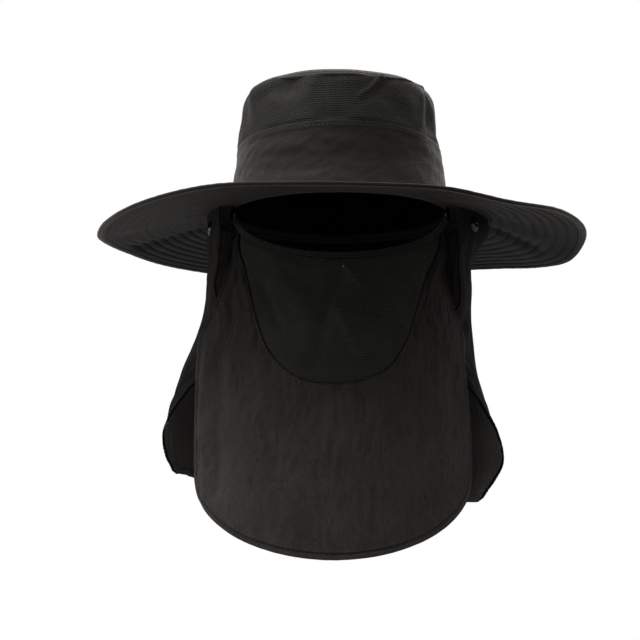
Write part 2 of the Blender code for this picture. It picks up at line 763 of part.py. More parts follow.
for name, x in (("side_stud_right", -SIDE_STUD_RIGHT), ("side_stud_left", SIDE_STUD_LEFT)):
    back, facing = on_sheet(cover_surface, (x, -SIDE_STUD_DROP), COVER_STEPS, SIDE_STUD_LIFT)
    stud(name, back, facing, METAL)
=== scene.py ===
"""Looks of the flap sun hat: sewn cloth, air mesh, stitch rows and press studs.

Metres, +Z up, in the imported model's frame. The wearer looks along -Y and the wearer's left is
at +X. An angle of 0 is the front, and angles grow towards +X.
"""

import bpy
import numpy as np
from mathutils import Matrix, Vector


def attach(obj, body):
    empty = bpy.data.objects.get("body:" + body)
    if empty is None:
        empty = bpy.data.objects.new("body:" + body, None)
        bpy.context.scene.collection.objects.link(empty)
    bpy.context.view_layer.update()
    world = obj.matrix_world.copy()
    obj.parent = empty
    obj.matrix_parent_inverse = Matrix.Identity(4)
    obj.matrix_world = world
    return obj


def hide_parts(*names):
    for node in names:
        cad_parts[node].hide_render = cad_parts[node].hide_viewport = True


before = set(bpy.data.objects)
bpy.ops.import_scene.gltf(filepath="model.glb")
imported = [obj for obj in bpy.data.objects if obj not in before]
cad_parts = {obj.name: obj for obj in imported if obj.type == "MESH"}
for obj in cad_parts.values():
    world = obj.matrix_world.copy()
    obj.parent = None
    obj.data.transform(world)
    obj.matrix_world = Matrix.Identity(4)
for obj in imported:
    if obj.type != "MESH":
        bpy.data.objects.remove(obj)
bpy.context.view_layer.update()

MM = 0.001
GAP = 0.3 * MM

# How many random heights soft hills draw along u and along v
LATTICE = (601, 331)

# Walls
CLOTH = 1.2 * MM
HEM = 2.0 * MM
BRIM_THICKNESS = 2.0 * MM
BINDING_THICKNESS = 3.0 * MM

# Crown
HEAD_HALF_WIDTH = 85.5 * MM
HEAD_HALF_DEPTH = 103.0 * MM
CROWN_HEIGHT = 102.0 * MM
BAND_HEIGHT_FRONT = 54.0 * MM
BAND_HEIGHT_BACK = 47.0 * MM
TIP_SEAM_HEIGHT_FRONT = 91.0 * MM
TIP_SEAM_HEIGHT_SIDE = 96.0 * MM
TIP_POLE = 0.985
POLE_RADIUS = 3.2 * MM
DENT = 3.5 * MM
DENTS_END_WIDTH = 0.755

# Brim
BRIM_HALF_WIDTH = 192.5 * MM
BRIM_HALF_DEPTH = 209.0 * MM
BRIM_BREADTH = BRIM_HALF_WIDTH - HEAD_HALF_WIDTH
BRIM_DROP = 20.0 * MM
BRIM_BINDING_WIDTH = 5.0 * MM
GAP_SHARE = GAP / BRIM_BREADTH
RIM_SHARE = 1 - BRIM_BINDING_WIDTH / BRIM_BREADTH - GAP_SHARE
STITCH_ROWS = 12.6
ROW_PARTS = 10

# Mesh, stitches and hems: a stitch line's place is how far it lies from its edge.
MESH_PITCH = 2.25 * MM
INSERT_PITCH = 1.85 * MM
STITCH_PITCH = 3.6 * MM
STITCH_LENGTH = 2.7 * MM
TIP_STITCH = 3.2 * MM
BAND_TOP_STITCH = 3.0 * MM
BAND_FOOT_STITCH = 2.5 * MM
FLAP_STITCH = 4.5 * MM
PANEL_STITCH = 4.2 * MM
CUT_STITCH = 2.3 * MM
TAPE_STITCH = 1.5 * MM
HEM_WIDTH = 5.8 * MM
HEM_STEP = 0.5

# Neck flap
NECK_LENGTH = 228.0 * MM
NECK_SHORT_SIDE = 21.0 * MM
NECK_SHORT_START = 0.25
NECK_SHORT_END = 0.80
NECK_LEVEL = 150.0 * MM
NECK_LEVEL_SHARE = 0.66
NECK_RING = 0.175
NECK_EDGE_ANGLE = 70.0
NECK_CORNER = 34.0 * MM
NECK_FLARE_END = 0.36
NECK_BELLY_END = 0.36
NECK_FOLD = 2.5 * MM
NECK_FOLDS = 7
NECK_FOLD_START = 0.25
NECK_FOLD_GROWTH = 1.3

# Face cover
NOSE_DROP = 48.0 * MM
NOSE_RISE = 55.5 * MM
COVER_EDGE_ANGLE = 65.0
COVER_HALF_WIDTH = HEAD_HALF_WIDTH + 14.5 * MM
COVER_DEPTH = HEAD_HALF_DEPTH + 9.0 * MM
COVER_CORNER_DROP = 212.0 * MM
COVER_ROUNDING = 61.0 * MM
NOSE_BINDING_WIDTH = 5.5 * MM
NOSE_BINDING_THICKNESS = 2.8 * MM
NOSE_GAP = 2 * GAP
EAR_RISE = 5.5 * MM
EAR_POWER = 10
INSERT_DROP = 146.0 * MM
OUTLINE_POINTS = 340
PANEL_EDGE = 8.0 * MM
PANEL_EDGE_ROWS = 14
NET_LAP = 1.5 * MM
TACK = (2.7 * MM, -58.5 * MM)

# Press studs: the cap's profile holds radius and height in millimetres. The steps are how
# far apart the places on a sheet lie that give the way it faces.
STUD_RADIUS = 5.5 * MM
STUD_THICKNESS = 2.2 * MM
STUD_SIDES = 44
CAP_PROFILE = [
    (0, 0), (5.1, 0), (5.5, 0.3), (5.5, 0.8), (5.15, 1.15), (4.6, 1.25), (4.25, 1.1), (3.95, 1.2),
    (3.5, 1.75), (2.9, 2.05), (2.2, 2.2), (1.6, 2.1), (1.2, 1.95), (0.6, 1.9), (0, 1.9),
]
SIDE_STUD_INSET = 3.0 * MM
SIDE_STUD_DROP = 106.5 * MM
SIDE_STUD_SAG = 0.6 * MM
SIDE_STUD_LIFT = -(HEM / 2 + GAP + SIDE_STUD_SAG + STUD_THICKNESS)
COVER_STUD_INSET = 0.8 * MM
COVER_STEPS = (0.5 * MM, 0.5 * MM)
NECK_STUD_RIGHT = (-81.0, 0.055)
NECK_STUD_LEFT = (79.0, 0.045)
NECK_STUD_LIFT_RIGHT = CLOTH / 2 + GAP
NECK_STUD_LIFT_LEFT = CLOTH / 2
NECK_STEPS = (-0.5, 0.005)

# Where the neck flap's front edges are laid behind the face cover
JOINED_REACH = 15.0 * MM
JOINED_DEPTH = HEM + STUD_THICKNESS + SIDE_STUD_SAG + 2 * GAP
JOINED_PULL = 1.35
COVER_CLEARANCE = HEM + 3 * GAP
COVER_EDGE_REACH = 6.0 * MM

# Camera, from the photograph's framing, and floor
CAMERA_DISTANCE = 1.5
CAMERA_ELEVATION = -6.6
CAMERA_LENS = 106.8
CAMERA_TARGET = (-14.9 * MM, 0.0, -85.9 * MM)
FLOOR = -2.4
FLOOR_REACH = 10


def table(columns, rows):
    """A table with named columns: each name gives that column as an array."""
    return dict(zip(columns.split(), np.array(rows, float).T))


# Heights are shares of the crown height, the others shares of the head opening's half sizes.
CROWN_SECTIONS = table(
    "height half_width half_depth",
    [
        (0.000, 1.000, 1.000), (0.120, 0.992, 0.990), (0.260, 0.977, 0.972),
        (0.455, 0.944, 0.938), (0.640, 0.918, 0.895), (0.780, 0.893, 0.852),
        (0.865, 0.866, 0.822), (0.915, 0.832, 0.785), (0.957, 0.755, 0.710),
        (0.987, 0.570, 0.540), (0.998, 0.300, 0.285), (1.000, 0.000, 0.000),
    ],
)

# Heights are shares of the crown height, depths shares of the dent size, and a bulge is
# negative. A spread is how far from its middle a dent has nearly gone.
CROWN_DENTS = table(
    "angle height angle_spread height_spread depth",
    [
        (-38, 0.83, 10, 0.07, 0.90), (-54, 0.88, 12, 0.11, -0.80), (22, 0.84, 8, 0.09, 0.60),
        (10, 0.88, 7, 0.07, -0.30), (48, 0.30, 16, 0.10, 0.30), (66, 0.52, 9, 0.22, 0.35),
        (84, 0.62, 8, 0.16, 0.45), (-80, 0.40, 14, 0.25, 0.25), (150, 0.60, 20, 0.20, 0.40),
        (-140, 0.45, 22, 0.25, 0.35),
    ],
)

# The rim's drop below the crown's foot, in shares of the brim drop, and its distance from
# the middle, in shares of the brim's half sizes.
BRIM_RIM = table(
    "angle drop reach",
    [
        (-160, 1.12, 1.000), (-144, 1.16, 1.000), (-128, 1.08, 0.998), (-112, 0.95, 0.990),
        (-96, 0.95, 0.990), (-80, 1.08, 0.990), (-66, 1.00, 0.997), (-50, 0.80, 1.000),
        (-28, 0.60, 1.000), (-10, 0.70, 1.000), (8, 0.76, 1.000), (22, 0.77, 1.000),
        (38, 0.98, 1.002), (58, 0.88, 1.008), (74, 1.02, 1.014), (90, 1.26, 1.010),
        (104, 1.52, 1.014), (118, 1.40, 1.010), (134, 1.12, 1.004), (150, 0.98, 1.000),
        (170, 1.06, 1.000),
    ],
)

# Drops are shares of the neck flap's length. Right and left are its half widths on the
# wearer's right and left and depth its reach behind, in shares of those at the top. A flare
# moves a front edge outward, and the belly the cloth behind the left one, in shares of the half
# width at the top. A wrap is how many degrees further forward a front edge reaches.
NECK_SECTIONS = table(
    "drop right left depth right_flare left_flare right_wrap left_wrap belly",
    [
        (0.00, 0.995, 1.010, 1.000, 0.00, 0.000, 8.0, 10.0, 0.120),
        (0.10, 0.990, 1.005, 1.010, 0.00, 0.000, 8.0, 10.0, 0.105),
        (0.15, 0.987, 1.002, 1.018, 0.00, 0.000, 7.5, 10.0, 0.030),
        (0.20, 0.985, 1.000, 1.025, 0.00, 0.000, 6.0, 9.5, 0.000),
        (0.27, 0.992, 1.003, 1.034, -0.01, -0.015, 1.5, 7.0, 0.000),
        (0.34, 1.015, 1.010, 1.045, -0.04, -0.060, 0.0, 0.5, 0.000),
        (0.40, 1.065, 1.032, 1.055, -0.10, -0.130, 0.0, 0.0, 0.000),
        (0.46, 1.125, 1.045, 1.065, -0.14, -0.140, 0.0, 0.0, 0.000),
        (0.56, 1.220, 1.067, 1.080, -0.16, -0.120, 0.0, 0.0, 0.000),
        (0.68, 1.245, 1.115, 1.095, 0.01, -0.020, 0.0, 0.0, 0.000),
        (0.78, 1.215, 1.125, 1.105, 0.14, 0.090, 0.0, 0.0, 0.000),
        (0.88, 1.185, 1.145, 1.110, 0.13, 0.105, 0.0, 0.0, 0.000),
        (1.00, 1.110, 1.060, 1.110, 0.00, 0.000, 0.0, 0.0, 0.000),
    ],
)

# Drops are shares of the face cover's corner drop, right and left shares of its half width
# on the wearer's right and left, depths shares of its depth.
COVER_SIDES = table(
    "drop right left depth",
    [
        (0.01, 0.800, 0.820, 0.935), (0.16, 0.835, 0.830, 0.950), (0.32, 0.905, 0.840, 0.985),
        (0.42, 0.985, 0.890, 1.030), (0.50, 1.065, 0.945, 1.060), (0.58, 1.080, 0.945, 1.070),
        (0.72, 1.090, 0.960, 1.070), (0.86, 1.095, 0.990, 1.070), (1.00, 1.090, 0.990, 1.070),
        (1.30, 1.090, 0.990, 1.070),
    ],
)

# The mesh insert's outline from one upper corner down and round to the other.
# Across is a share of the cover's half width, drop a share of the insert's drop.
INSERT_OUTLINE = table(
    "across drop",
    [
        (-0.755, 0.150), (-0.765, 0.240), (-0.706, 0.374), (-0.649, 0.548), (-0.593, 0.699),
        (-0.516, 0.828), (-0.394, 0.927), (-0.246, 0.985), (-0.085, 1.000), (0.090, 0.996),
        (0.223, 0.968), (0.358, 0.908), (0.450, 0.812), (0.530, 0.673), (0.578, 0.545),
        (0.642, 0.415), (0.730, 0.280), (0.775, 0.150),
    ],
)

# Soft ridges and creases in front view, in millimetres: from one end to the other, how wide,
# and how high. A crease is negative.
PANEL_FOLDS = table(
    "x0 z0 x1 z1 width height",
    [
        (-79, -32, -72, -66, 2.6, 1.3), (-86, -48, -82, -96, 3.5, -1.0),
        (-72, -66, -66, -96, 4.0, 0.9), (-100, -112, -104, -180, 3.0, 1.2),
        (76, -22, 66, -72, 2.4, 1.4), (82, -38, 66, -62, 2.2, 1.1),
        (79, -50, 82, -110, 5.0, -1.2), (90, -110, 96, -170, 4.0, 0.9),
        (-88, -120, -84, -220, 7.0, -0.9), (-52, -150, -64, -250, 9.0, 0.8),
        (-12, -160, -20, -262, 9.0, -0.7), (30, -155, 34, -262, 9.0, 0.8),
        (66, -120, 70, -236, 8.0, -0.8), (-99, -112, -101, -228, 4.5, 1.8),
        (-89, -118, -91, -224, 4.0, -1.3), (-80, -128, -83, -214, 4.5, 0.9),
        (94, -120, 96, -210, 4.5, 0.9), (84, -130, 86, -222, 4.0, -0.8),
    ],
)
INSERT_FOLDS = table(
    "x0 z0 x1 z1 width height",
    [
        (4, -46, 3, -60, 1.4, 1.5), (2, -60, -12, -96, 5.0, -2.25),
        (-12, -96, -18, -132, 6.0, -1.5), (5, -60, 30, -92, 2.6, 2.5),
        (30, -92, 50, -108, 3.0, 2.0), (-2, -92, 16, -126, 3.6, 2.25),
        (16, -126, 36, -138, 3.4, 1.75), (16, -92, 38, -114, 4.0, -2.0),
        (34, -58, 54, -74, 4.0, -1.5), (-46, -58, -30, -90, 6.0, 1.5),
        (-58, -70, -44, -104, 4.0, -1.5), (-30, -60, -22, -120, 7.0, 1.125),
    ],
)

# Folds of the mesh ring: angle, the levels they run between, lean in degrees, width in degrees
# and height in millimetres.
CROWN_FOLDS = table(
    "angle low high lean width height",
    [
        (10, 0.45, 1.4, 34, 1.8, 2.0), (17, 0.30, 1.4, 32, 3.6, -1.0),
        (30, 0.0, 0.7, -20, 6.0, -0.8), (56, 0.0, 0.9, 12, 3.0, 1.2),
        (62, 0.0, 0.9, 6, 3.0, -1.0), (70, 0.0, 0.9, -6, 3.5, 1.0), (-20, 0.3, 1.3, 12, 5.0, 1.0),
        (-31, 0.5, 1.4, 4, 5.0, -1.9), (-40, 0.3, 1.3, -8, 4.0, 1.2),
        (-58, 0.1, 1.0, -14, 4.0, 0.8), (-68, 0.1, 1.0, -10, 4.0, -0.8),
        (130, 0.0, 1.0, 12, 5.0, 0.8), (165, 0.2, 1.2, -16, 5.0, -1.0),
        (-125, 0.0, 1.0, -10, 5.0, -0.8),
    ],
)

# Creases across the brim: a ray's angle half way out, the shares of the brim's breadth that
# it runs between, its lean in degrees over the breadth, its width in degrees and its height
# in millimetres. One that ends at 1.20 reaches the rim without fading.
BRIM_CREASES = table(
    "angle low high lean width height",
    [
        (97, 0.20, 0.90, 22, 3.2, 2.2), (88, 0.15, 0.85, 14, 5.0, -1.3),
        (-108, 0.15, 1.20, -6, 3.2, 2.0), (-98, 0.20, 1.20, -4, 6.0, -1.0),
        (150, 0.20, 1.20, 0, 9.0, 1.0), (-150, 0.20, 1.20, 0, 9.0, -1.0),
    ],
)

# Creases of the neck flap near its front edges, from the press studs outward: places are
# millimetres in from the edge and up from the top.
NECK_CREASES = table(
    "x0 z0 x1 z1 width height",
    [
        (20, -12, 3, -34, 2.6, 0.8), (22, -14, 12, -58, 3.0, -0.8), (24, -14, 28, -52, 3.0, 0.8),
        (26, -12, 52, -40, 3.4, -0.7), (24, -8, 70, -16, 3.0, 0.6), (8, -60, 14, -120, 5.0, 1.0),
        (26, -70, 30, -150, 6.0, -1.0), (10, -140, 34, -176, 4.0, 0.9),
        (6, -170, 30, -200, 5.0, -0.9),
    ],
)


def eased(at, xs, ys):
    """A smooth curve through the points (xs, ys), read at the places in at.

    Between two points it is the cubic whose slopes at both are the neighbours' mean slopes.
    """
    at = np.clip(at, xs[0], xs[-1])
    slopes = np.gradient(ys, xs)
    i = np.clip(np.searchsorted(xs, at) - 1, 0, len(xs) - 2)
    width = xs[i + 1] - xs[i]
    t = (at - xs[i]) / width
    start = (1 + 2 * t) * (1 - t) ** 2 * ys[i] + t * (1 - t) ** 2 * width * slopes[i]
    end = t**2 * (3 - 2 * t) * ys[i + 1] - t**2 * (1 - t) * width * slopes[i + 1]
    return start + end


def smooth_step(t):
    """A rise from 0 to 1 as t goes from 0 to 1, level at both ends: 3t^2 - 2t^3."""
    t = np.clip(t, 0, 1)
    return t**2 * (3 - 2 * t)


def turned(degrees):
    """An angle brought into -180 to 180 degrees."""
    return (np.asarray(degrees, float) + 180) % 360 - 180


def unit(vectors):
    """Vectors brought to length 1."""
    return vectors / np.linalg.norm(vectors, axis=-1, keepdims=True)


def ring(angle, half_width, half_depth, height):
    """Points of an ellipse at a height: width times sine, minus depth times cosine."""
    a = np.radians(angle)
    x, y, z = np.broadcast_arrays(half_width * np.sin(a), -half_depth * np.cos(a), height)
    return np.stack([x, y, z], axis=-1)


def path_shares(*columns):
    """How far along the line through the columns' points each lies, from 0 to 1."""
    steps = np.sqrt(sum(np.diff(c) ** 2 for c in columns))
    along = np.concatenate([[0], np.cumsum(steps)])
    return along / along[-1]


def lengths(points):
    """How far along a line of points, or down each column of a grid, each point lies."""
    steps = np.linalg.norm(np.diff(points, axis=0), axis=-1)
    return np.concatenate([np.zeros((1, *steps.shape[1:])), np.cumsum(steps, axis=0)])


def read_line(line, along, at):
    """Places on a line at given lengths along it."""
    return np.stack([np.interp(at, along, column) for column in line.T], axis=-1)


def soft_hills(u, v, cell_u, cell_v, seed, around=None):
    """Random heights from -1 to 1 at the corners of a lattice, joined by smooth steps.

    With around, the lattice closes on itself after that length along u.
    """
    heights = np.random.default_rng(seed).uniform(-1, 1, LATTICE)
    columns, rows = LATTICE
    if around is not None:
        columns = max(3, round(around / cell_u))
        cell_u = around / columns
    x, y = u / cell_u, v / cell_v
    i, j = np.floor(x).astype(int), np.floor(y).astype(int)
    a, b = smooth_step(x - i), smooth_step(y - j)

    def corner(di, dj):
        return heights[(i + di) % columns, (j + dj) % rows]

    near = corner(0, 0) * (1 - a) + corner(1, 0) * a
    far = corner(0, 1) * (1 - a) + corner(1, 1) * a
    return near * (1 - b) + far * b


def line_distance(x, z, x0, z0, x1, z1):
    """The distance from places in front view to a straight line between two points."""
    dx, dz = x1 - x0, z1 - z0
    t = np.clip(((x - x0) * dx + (z - z0) * dz) / (dx**2 + dz**2), 0, 1)
    return np.hypot(x - x0 - t * dx, z - z0 - t * dz)


def folds(x, z, rows):
    """The folds of a table added up, each a bell of its width and height across its line."""
    total = np.zeros(np.broadcast(x, z).shape)
    for x0, z0, x1, z1, width, height in zip(*rows.values()):
        away = line_distance(x, z, x0 * MM, z0 * MM, x1 * MM, z1 * MM)
        total = total + height * MM * np.exp(-((away / (width * MM)) ** 2))
    return total


CROWN_ALONG = path_shares(
    CROWN_SECTIONS["height"] * CROWN_HEIGHT,
    CROWN_SECTIONS["half_depth"] * HEAD_HALF_DEPTH,
)


def crown_point(angle, along):
    """The crown's middle surface; along runs from 0 at the foot to 1 at the top.

    An ellipse from the table of sections at each height, drawn inward by the dents.
    """
    height = eased(along, CROWN_ALONG, CROWN_SECTIONS["height"])
    wide = eased(along, CROWN_ALONG, CROWN_SECTIONS["half_width"])
    deep = eased(along, CROWN_ALONG, CROWN_SECTIONS["half_depth"])
    inward = np.zeros(np.broadcast(angle, along).shape)
    for a, h, da, dh, depth in zip(*CROWN_DENTS.values()):
        away = (turned(angle - a) / da) ** 2 + ((height - h) / dh) ** 2
        inward = inward + DENT * depth * np.exp(-away)
    inward = inward * np.clip(wide / DENTS_END_WIDTH, 0, 1)
    return ring(
        angle,
        wide * HEAD_HALF_WIDTH - inward,
        deep * HEAD_HALF_DEPTH - inward,
        height * CROWN_HEIGHT,
    )


def along_at(height):
    """How far along the crown's outline a height lies."""
    fine = np.linspace(0, 1, 400)
    heights = eased(fine, CROWN_ALONG, CROWN_SECTIONS["height"]) * CROWN_HEIGHT
    return np.interp(height, heights, fine)


def band_top(angle):
    """The height of the seam between the band and the mesh, highest in front."""
    front = ((1 + np.cos(np.radians(angle))) / 2) ** 2
    return BAND_HEIGHT_BACK + (BAND_HEIGHT_FRONT - BAND_HEIGHT_BACK) * front


def tip_seam(angle):
    """The height of the seam between the mesh and the tip, highest at the sides."""
    side = np.sin(np.radians(angle)) ** 2
    return TIP_SEAM_HEIGHT_FRONT + (TIP_SEAM_HEIGHT_SIDE - TIP_SEAM_HEIGHT_FRONT) * side


def rim_value(angle, name):
    """A column of the rim's table at an angle, smooth all the way round."""
    angles = BRIM_RIM["angle"]
    values = BRIM_RIM[name]
    angles = np.concatenate([angles[-2:] - 360, angles, angles[:2] + 360])
    values = np.concatenate([values[-2:], values, values[:2]])
    return eased(turned(angle), angles, values)


def brim_point(angle, share):
    """The brim's middle surface; share runs from 0 at the crown to 1 at the rim.

    Straight from the crown's ellipse to the rim's, dropping as the rim's table says.
    """
    inner = CLOTH / 2
    reach = rim_value(angle, "reach") * share
    wide = (HEAD_HALF_WIDTH - inner) * (1 - share) + BRIM_HALF_WIDTH * reach
    deep = (HEAD_HALF_DEPTH - inner) * (1 - share) + BRIM_HALF_DEPTH * reach
    height = -BRIM_THICKNESS / 2 - rim_value(angle, "drop") * BRIM_DROP * share
    return ring(angle, wide, deep, height)


def brim_underside(x, y):
    """The height of the brim's underside at a place near the crown."""
    angle = np.degrees(np.arctan2(x / HEAD_HALF_WIDTH, -y / HEAD_HALF_DEPTH))
    shares = np.linspace(0, 0.5, 101)
    points = brim_point(angle, shares)
    share = np.interp(np.hypot(x, y), np.hypot(points[:, 0], points[:, 1]), shares)
    return brim_point(angle, share)[2] - BRIM_THICKNESS / 2


def neck_edges(angle):
    """A flap point's side, and its share of the way from front edge to back, also in metres.

    Behind them stand the half sizes of the ellipse that the flap hangs from.
    """
    side = np.sign(np.sin(np.radians(angle)))
    opening = np.abs(turned(angle)) - NECK_EDGE_ANGLE
    from_edge = np.clip(opening / (180 - NECK_EDGE_ANGLE), 0, 1)
    wide = HEAD_HALF_WIDTH + NECK_RING * BRIM_BREADTH
    deep = HEAD_HALF_DEPTH + NECK_RING * (BRIM_HALF_DEPTH - HEAD_HALF_DEPTH)
    arc = from_edge * np.radians(180 - NECK_EDGE_ANGLE) * (wide + deep) / 2
    return side, from_edge, arc, wide, deep


def neck_bottom(angle):
    """The height of the neck flap's hem, with its rounded front corners."""
    side, from_edge, arc, _, _ = neck_edges(angle)
    corner = NECK_CORNER * (1 - np.sqrt(1 - np.clip(1 - arc / NECK_CORNER, 0, 1) ** 2))
    span = NECK_SHORT_END - NECK_SHORT_START
    shortened = 1 - smooth_step((from_edge - NECK_SHORT_START) / span)
    return -NECK_LENGTH + np.where(side < 0, NECK_SHORT_SIDE, 0) * shortened + corner


def neck_point(angle, share):
    """The neck flap's middle surface; share runs from 0 at the brim to 1 at the hem.

    At each height an ellipse with the widths, depth and flares of the table, waved by folds,
    then drawn to the face cover's side edges and kept behind them.
    """
    side, from_edge, arc, wide, deep = neck_edges(angle)
    near_edge = np.clip(1 - from_edge / NECK_FLARE_END, 0, 1) ** 2
    belly = np.sin(np.pi * np.clip(from_edge / NECK_BELLY_END, 0, 1)) ** 2

    def flared(values):
        """How far outward a place is moved, in shares of the half width at the top."""
        left = values["left_flare"] * near_edge + values["belly"] * belly
        return np.where(side < 0, values["right_flare"] * near_edge, left)

    def bearing(values):
        """The way that a place is from the middle, in degrees."""
        wrap = np.where(side < 0, values["right_wrap"], values["left_wrap"])
        return angle - side * wrap * (1 - from_edge)

    first = {name: column[0] for name, column in NECK_SECTIONS.items()}
    under = NECK_RING + flared(first) * wide / BRIM_BREADTH
    top = brim_point(bearing(first), under)[..., 2] - BRIM_THICKNESS / 2 - GAP - CLOTH / 4
    upper = top + (-NECK_LEVEL - top) * share / NECK_LEVEL_SHARE
    lower = (share - NECK_LEVEL_SHARE) / (1 - NECK_LEVEL_SHARE)
    below = -NECK_LEVEL + (neck_bottom(angle) + NECK_LEVEL) * lower
    height = np.where(lower < 0, upper, below)

    drop = -height / NECK_LENGTH
    drops = NECK_SECTIONS["drop"]
    section = {name: eased(drop, drops, NECK_SECTIONS[name]) for name in NECK_SECTIONS}
    sideways = np.where(side < 0, section["right"], section["left"])
    fold = NECK_FOLD * np.clip(drop, 0, 1) ** NECK_FOLD_GROWTH
    fold = fold * np.clip(from_edge / NECK_FOLD_START, 0, 1)
    fold = fold * np.sin(np.radians(turned(angle)) * NECK_FOLDS)
    around = bearing(section)
    points = ring(around, wide * sideways + fold, deep * section["depth"] + fold, height)
    points[..., 0] += flared(section) * side * wide
    return kept_behind(joined(points, side, arc), side)


def joined(points, side, arc):
    """The neck flap's front edges laid behind the face cover's edges at the side studs."""
    height = points[..., 2]
    x = np.where(side < 0, -SIDE_STUD_RIGHT, SIDE_STUD_LEFT) + side * (arc - JOINED_REACH / 2) / 2
    front, outward = cover_and_normal(x, height)
    up_or_down = (height + SIDE_STUD_DROP) / JOINED_REACH
    near = np.exp(-(up_or_down**2) - (arc / (1.5 * JOINED_REACH)) ** 4)
    pull = smooth_step(JOINED_PULL * near)[..., None]
    return points * (1 - pull) + (front - outward * JOINED_DEPTH) * pull


def kept_behind(points, side):
    """The neck flap moved back wherever it would come too close behind the face cover."""
    x, height = points[..., 0], points[..., 2]
    front, outward = cover_and_normal(x, height)
    behind = np.sum((front - points) * outward, axis=-1)
    short = np.clip(COVER_CLEARANCE - behind, 0, None)
    past_edge = np.abs(x) - cover_half_width(side, height)
    covered = smooth_step(1 - past_edge / COVER_EDGE_REACH)
    return points - outward * (short * covered)[..., None]


def cover_half_width(side, z):
    """The face cover's half width at a height, on the wearer's right where side is negative."""
    drop = -z / COVER_CORNER_DROP
    right = eased(drop, COVER_SIDES["drop"], COVER_SIDES["right"])
    left = eased(drop, COVER_SIDES["drop"], COVER_SIDES["left"])
    return np.where(side < 0, right, left) * COVER_HALF_WIDTH


def cover_surface(x, z):
    """The face cover's middle surface at places in front view, with its depth worked out.

    At each height it is the front of an ellipse whose sides reach the table's half widths.
    """
    deep = eased(-z / COVER_CORNER_DROP, COVER_SIDES["drop"], COVER_SIDES["depth"]) * COVER_DEPTH
    sine = x / cover_half_width(x, z) * np.sin(np.radians(COVER_EDGE_ANGLE))
    y = -deep * np.sqrt(1 - np.clip(sine, -0.99, 0.99) ** 2)
    return np.stack(np.broadcast_arrays(x, y, z), axis=-1)


def cover_and_normal(x, z):
    """The face cover's middle surface and the way it faces, outward from the head."""
    here = cover_surface(x, z)
    across = cover_surface(x + MM, z) - here
    up = cover_surface(x, z + MM) - here
    return here, unit(np.cross(across, up))


def nose_edge(share):
    """The face cover's upper edge in front view; share runs from -1 to 1 across."""
    sine = share * np.sin(np.radians(COVER_EDGE_ANGLE))
    z = -NOSE_DROP + NOSE_RISE * (1 - np.sqrt(1 - sine**2)) + EAR_RISE * share**EAR_POWER
    return np.stack([share * cover_half_width(share, z), z], axis=-1)


def evenly(line, count):
    """Points spaced evenly along a line."""
    return read_line(line, path_shares(*line.T), np.linspace(0, 1, count))


def cover_outline(count):
    """The cover's outline in front view from one upper corner down and round to the other."""
    corner_right, corner_left = nose_edge(np.array([-1.0, 1.0]))
    corner_z = -COVER_CORNER_DROP

    def edge_down(top, side):
        z = np.linspace(top - NOSE_BINDING_WIDTH - NOSE_GAP, corner_z, 240)
        return np.stack([side * cover_half_width(side, z), z], axis=-1)

    down = edge_down(corner_right[1], -1)
    up = edge_down(corner_left[1], 1)[::-1]
    turn = np.linspace(-np.pi / 2, np.pi / 2, 360)[1:-1]
    middle = (down[-1, 0] + up[0, 0]) / 2
    half = (up[0, 0] - down[-1, 0]) / 2
    below = np.stack(
        [middle + half * np.sin(turn), corner_z - COVER_ROUNDING * np.cos(turn)], axis=-1
    )
    return evenly(np.concatenate([down, below, up]), count)


def insert_outline(count):
    """The mesh insert's outline in front view, smoothed through its table."""
    x = INSERT_OUTLINE["across"] * COVER_HALF_WIDTH
    z = -INSERT_OUTLINE["drop"] * INSERT_DROP
    along = path_shares(x, z)
    fine = np.linspace(0, 1, 1200)
    return evenly(np.stack([eased(fine, along, x), eased(fine, along, z)], axis=-1), count)


def shifted(line, distance):
    """A front-view line moved sideways, to the right of the way it runs."""
    way = unit(np.gradient(line, axis=0))
    return line + distance * np.stack([way[:, 1], -way[:, 0]], axis=-1)


def below_nose(x):
    """The height at which the cover's cloth starts under the nose binding."""
    edge = nose_edge(np.linspace(-1, 1, 801))
    return np.interp(x, edge[:, 0], edge[:, 1]) - NOSE_BINDING_WIDTH - NOSE_GAP


SIDE_STUD_RIGHT = cover_half_width(-1, -SIDE_STUD_DROP) - SIDE_STUD_INSET
SIDE_STUD_LEFT = cover_half_width(1, -SIDE_STUD_DROP) - SIDE_STUD_INSET
INSERT_CUT = shifted(insert_outline(OUTLINE_POINTS), GAP / 2)


def grid_normals(points, closed):
    """Which way a grid faces: along its rows crossed with the way from row to row."""
    if closed:
        along = np.roll(points, -1, axis=1) - np.roll(points, 1, axis=1)
    else:
        along = np.gradient(points, axis=1)
    return unit(np.cross(along, np.gradient(points, axis=0)))


def faces_of(middle, thickness, closed=False):
    """A cloth piece's outer and inner faces and the way they face, from its middle surface."""
    facing = grid_normals(middle, closed)
    half = np.broadcast_to(thickness, middle.shape[:2])[..., None] / 2
    return middle + facing * half, middle - facing * half, facing


def raised(points, height, closed=False):
    """A grid moved along the way it faces by a height at each point."""
    return points + grid_normals(points, closed) * height[..., None]


def wrapped(grid):
    """A closed grid with its first column repeated at the end."""
    return np.concatenate([grid, grid[:, :1]], axis=1)


def middle_girth(grid):
    """The lengths along a closed grid's middle row, all the way round."""
    return lengths(wrapped(grid)[len(grid) // 2])


def quads_of(rows, columns, down, across):
    """A grid's quads: their corners' rows and columns, and which points those are.

    There are down quads by across quads on rows by columns of points. Where there are as
    many quads as points, the grid closes on itself.
    """
    r, c = (a.ravel() for a in np.meshgrid(np.arange(down), np.arange(across), indexing="ij"))
    r = np.stack([r, r, r + 1, r + 1], axis=-1)
    c = np.stack([c, c + 1, c + 1, c], axis=-1)
    return r, c, (r % rows) * columns + c % columns


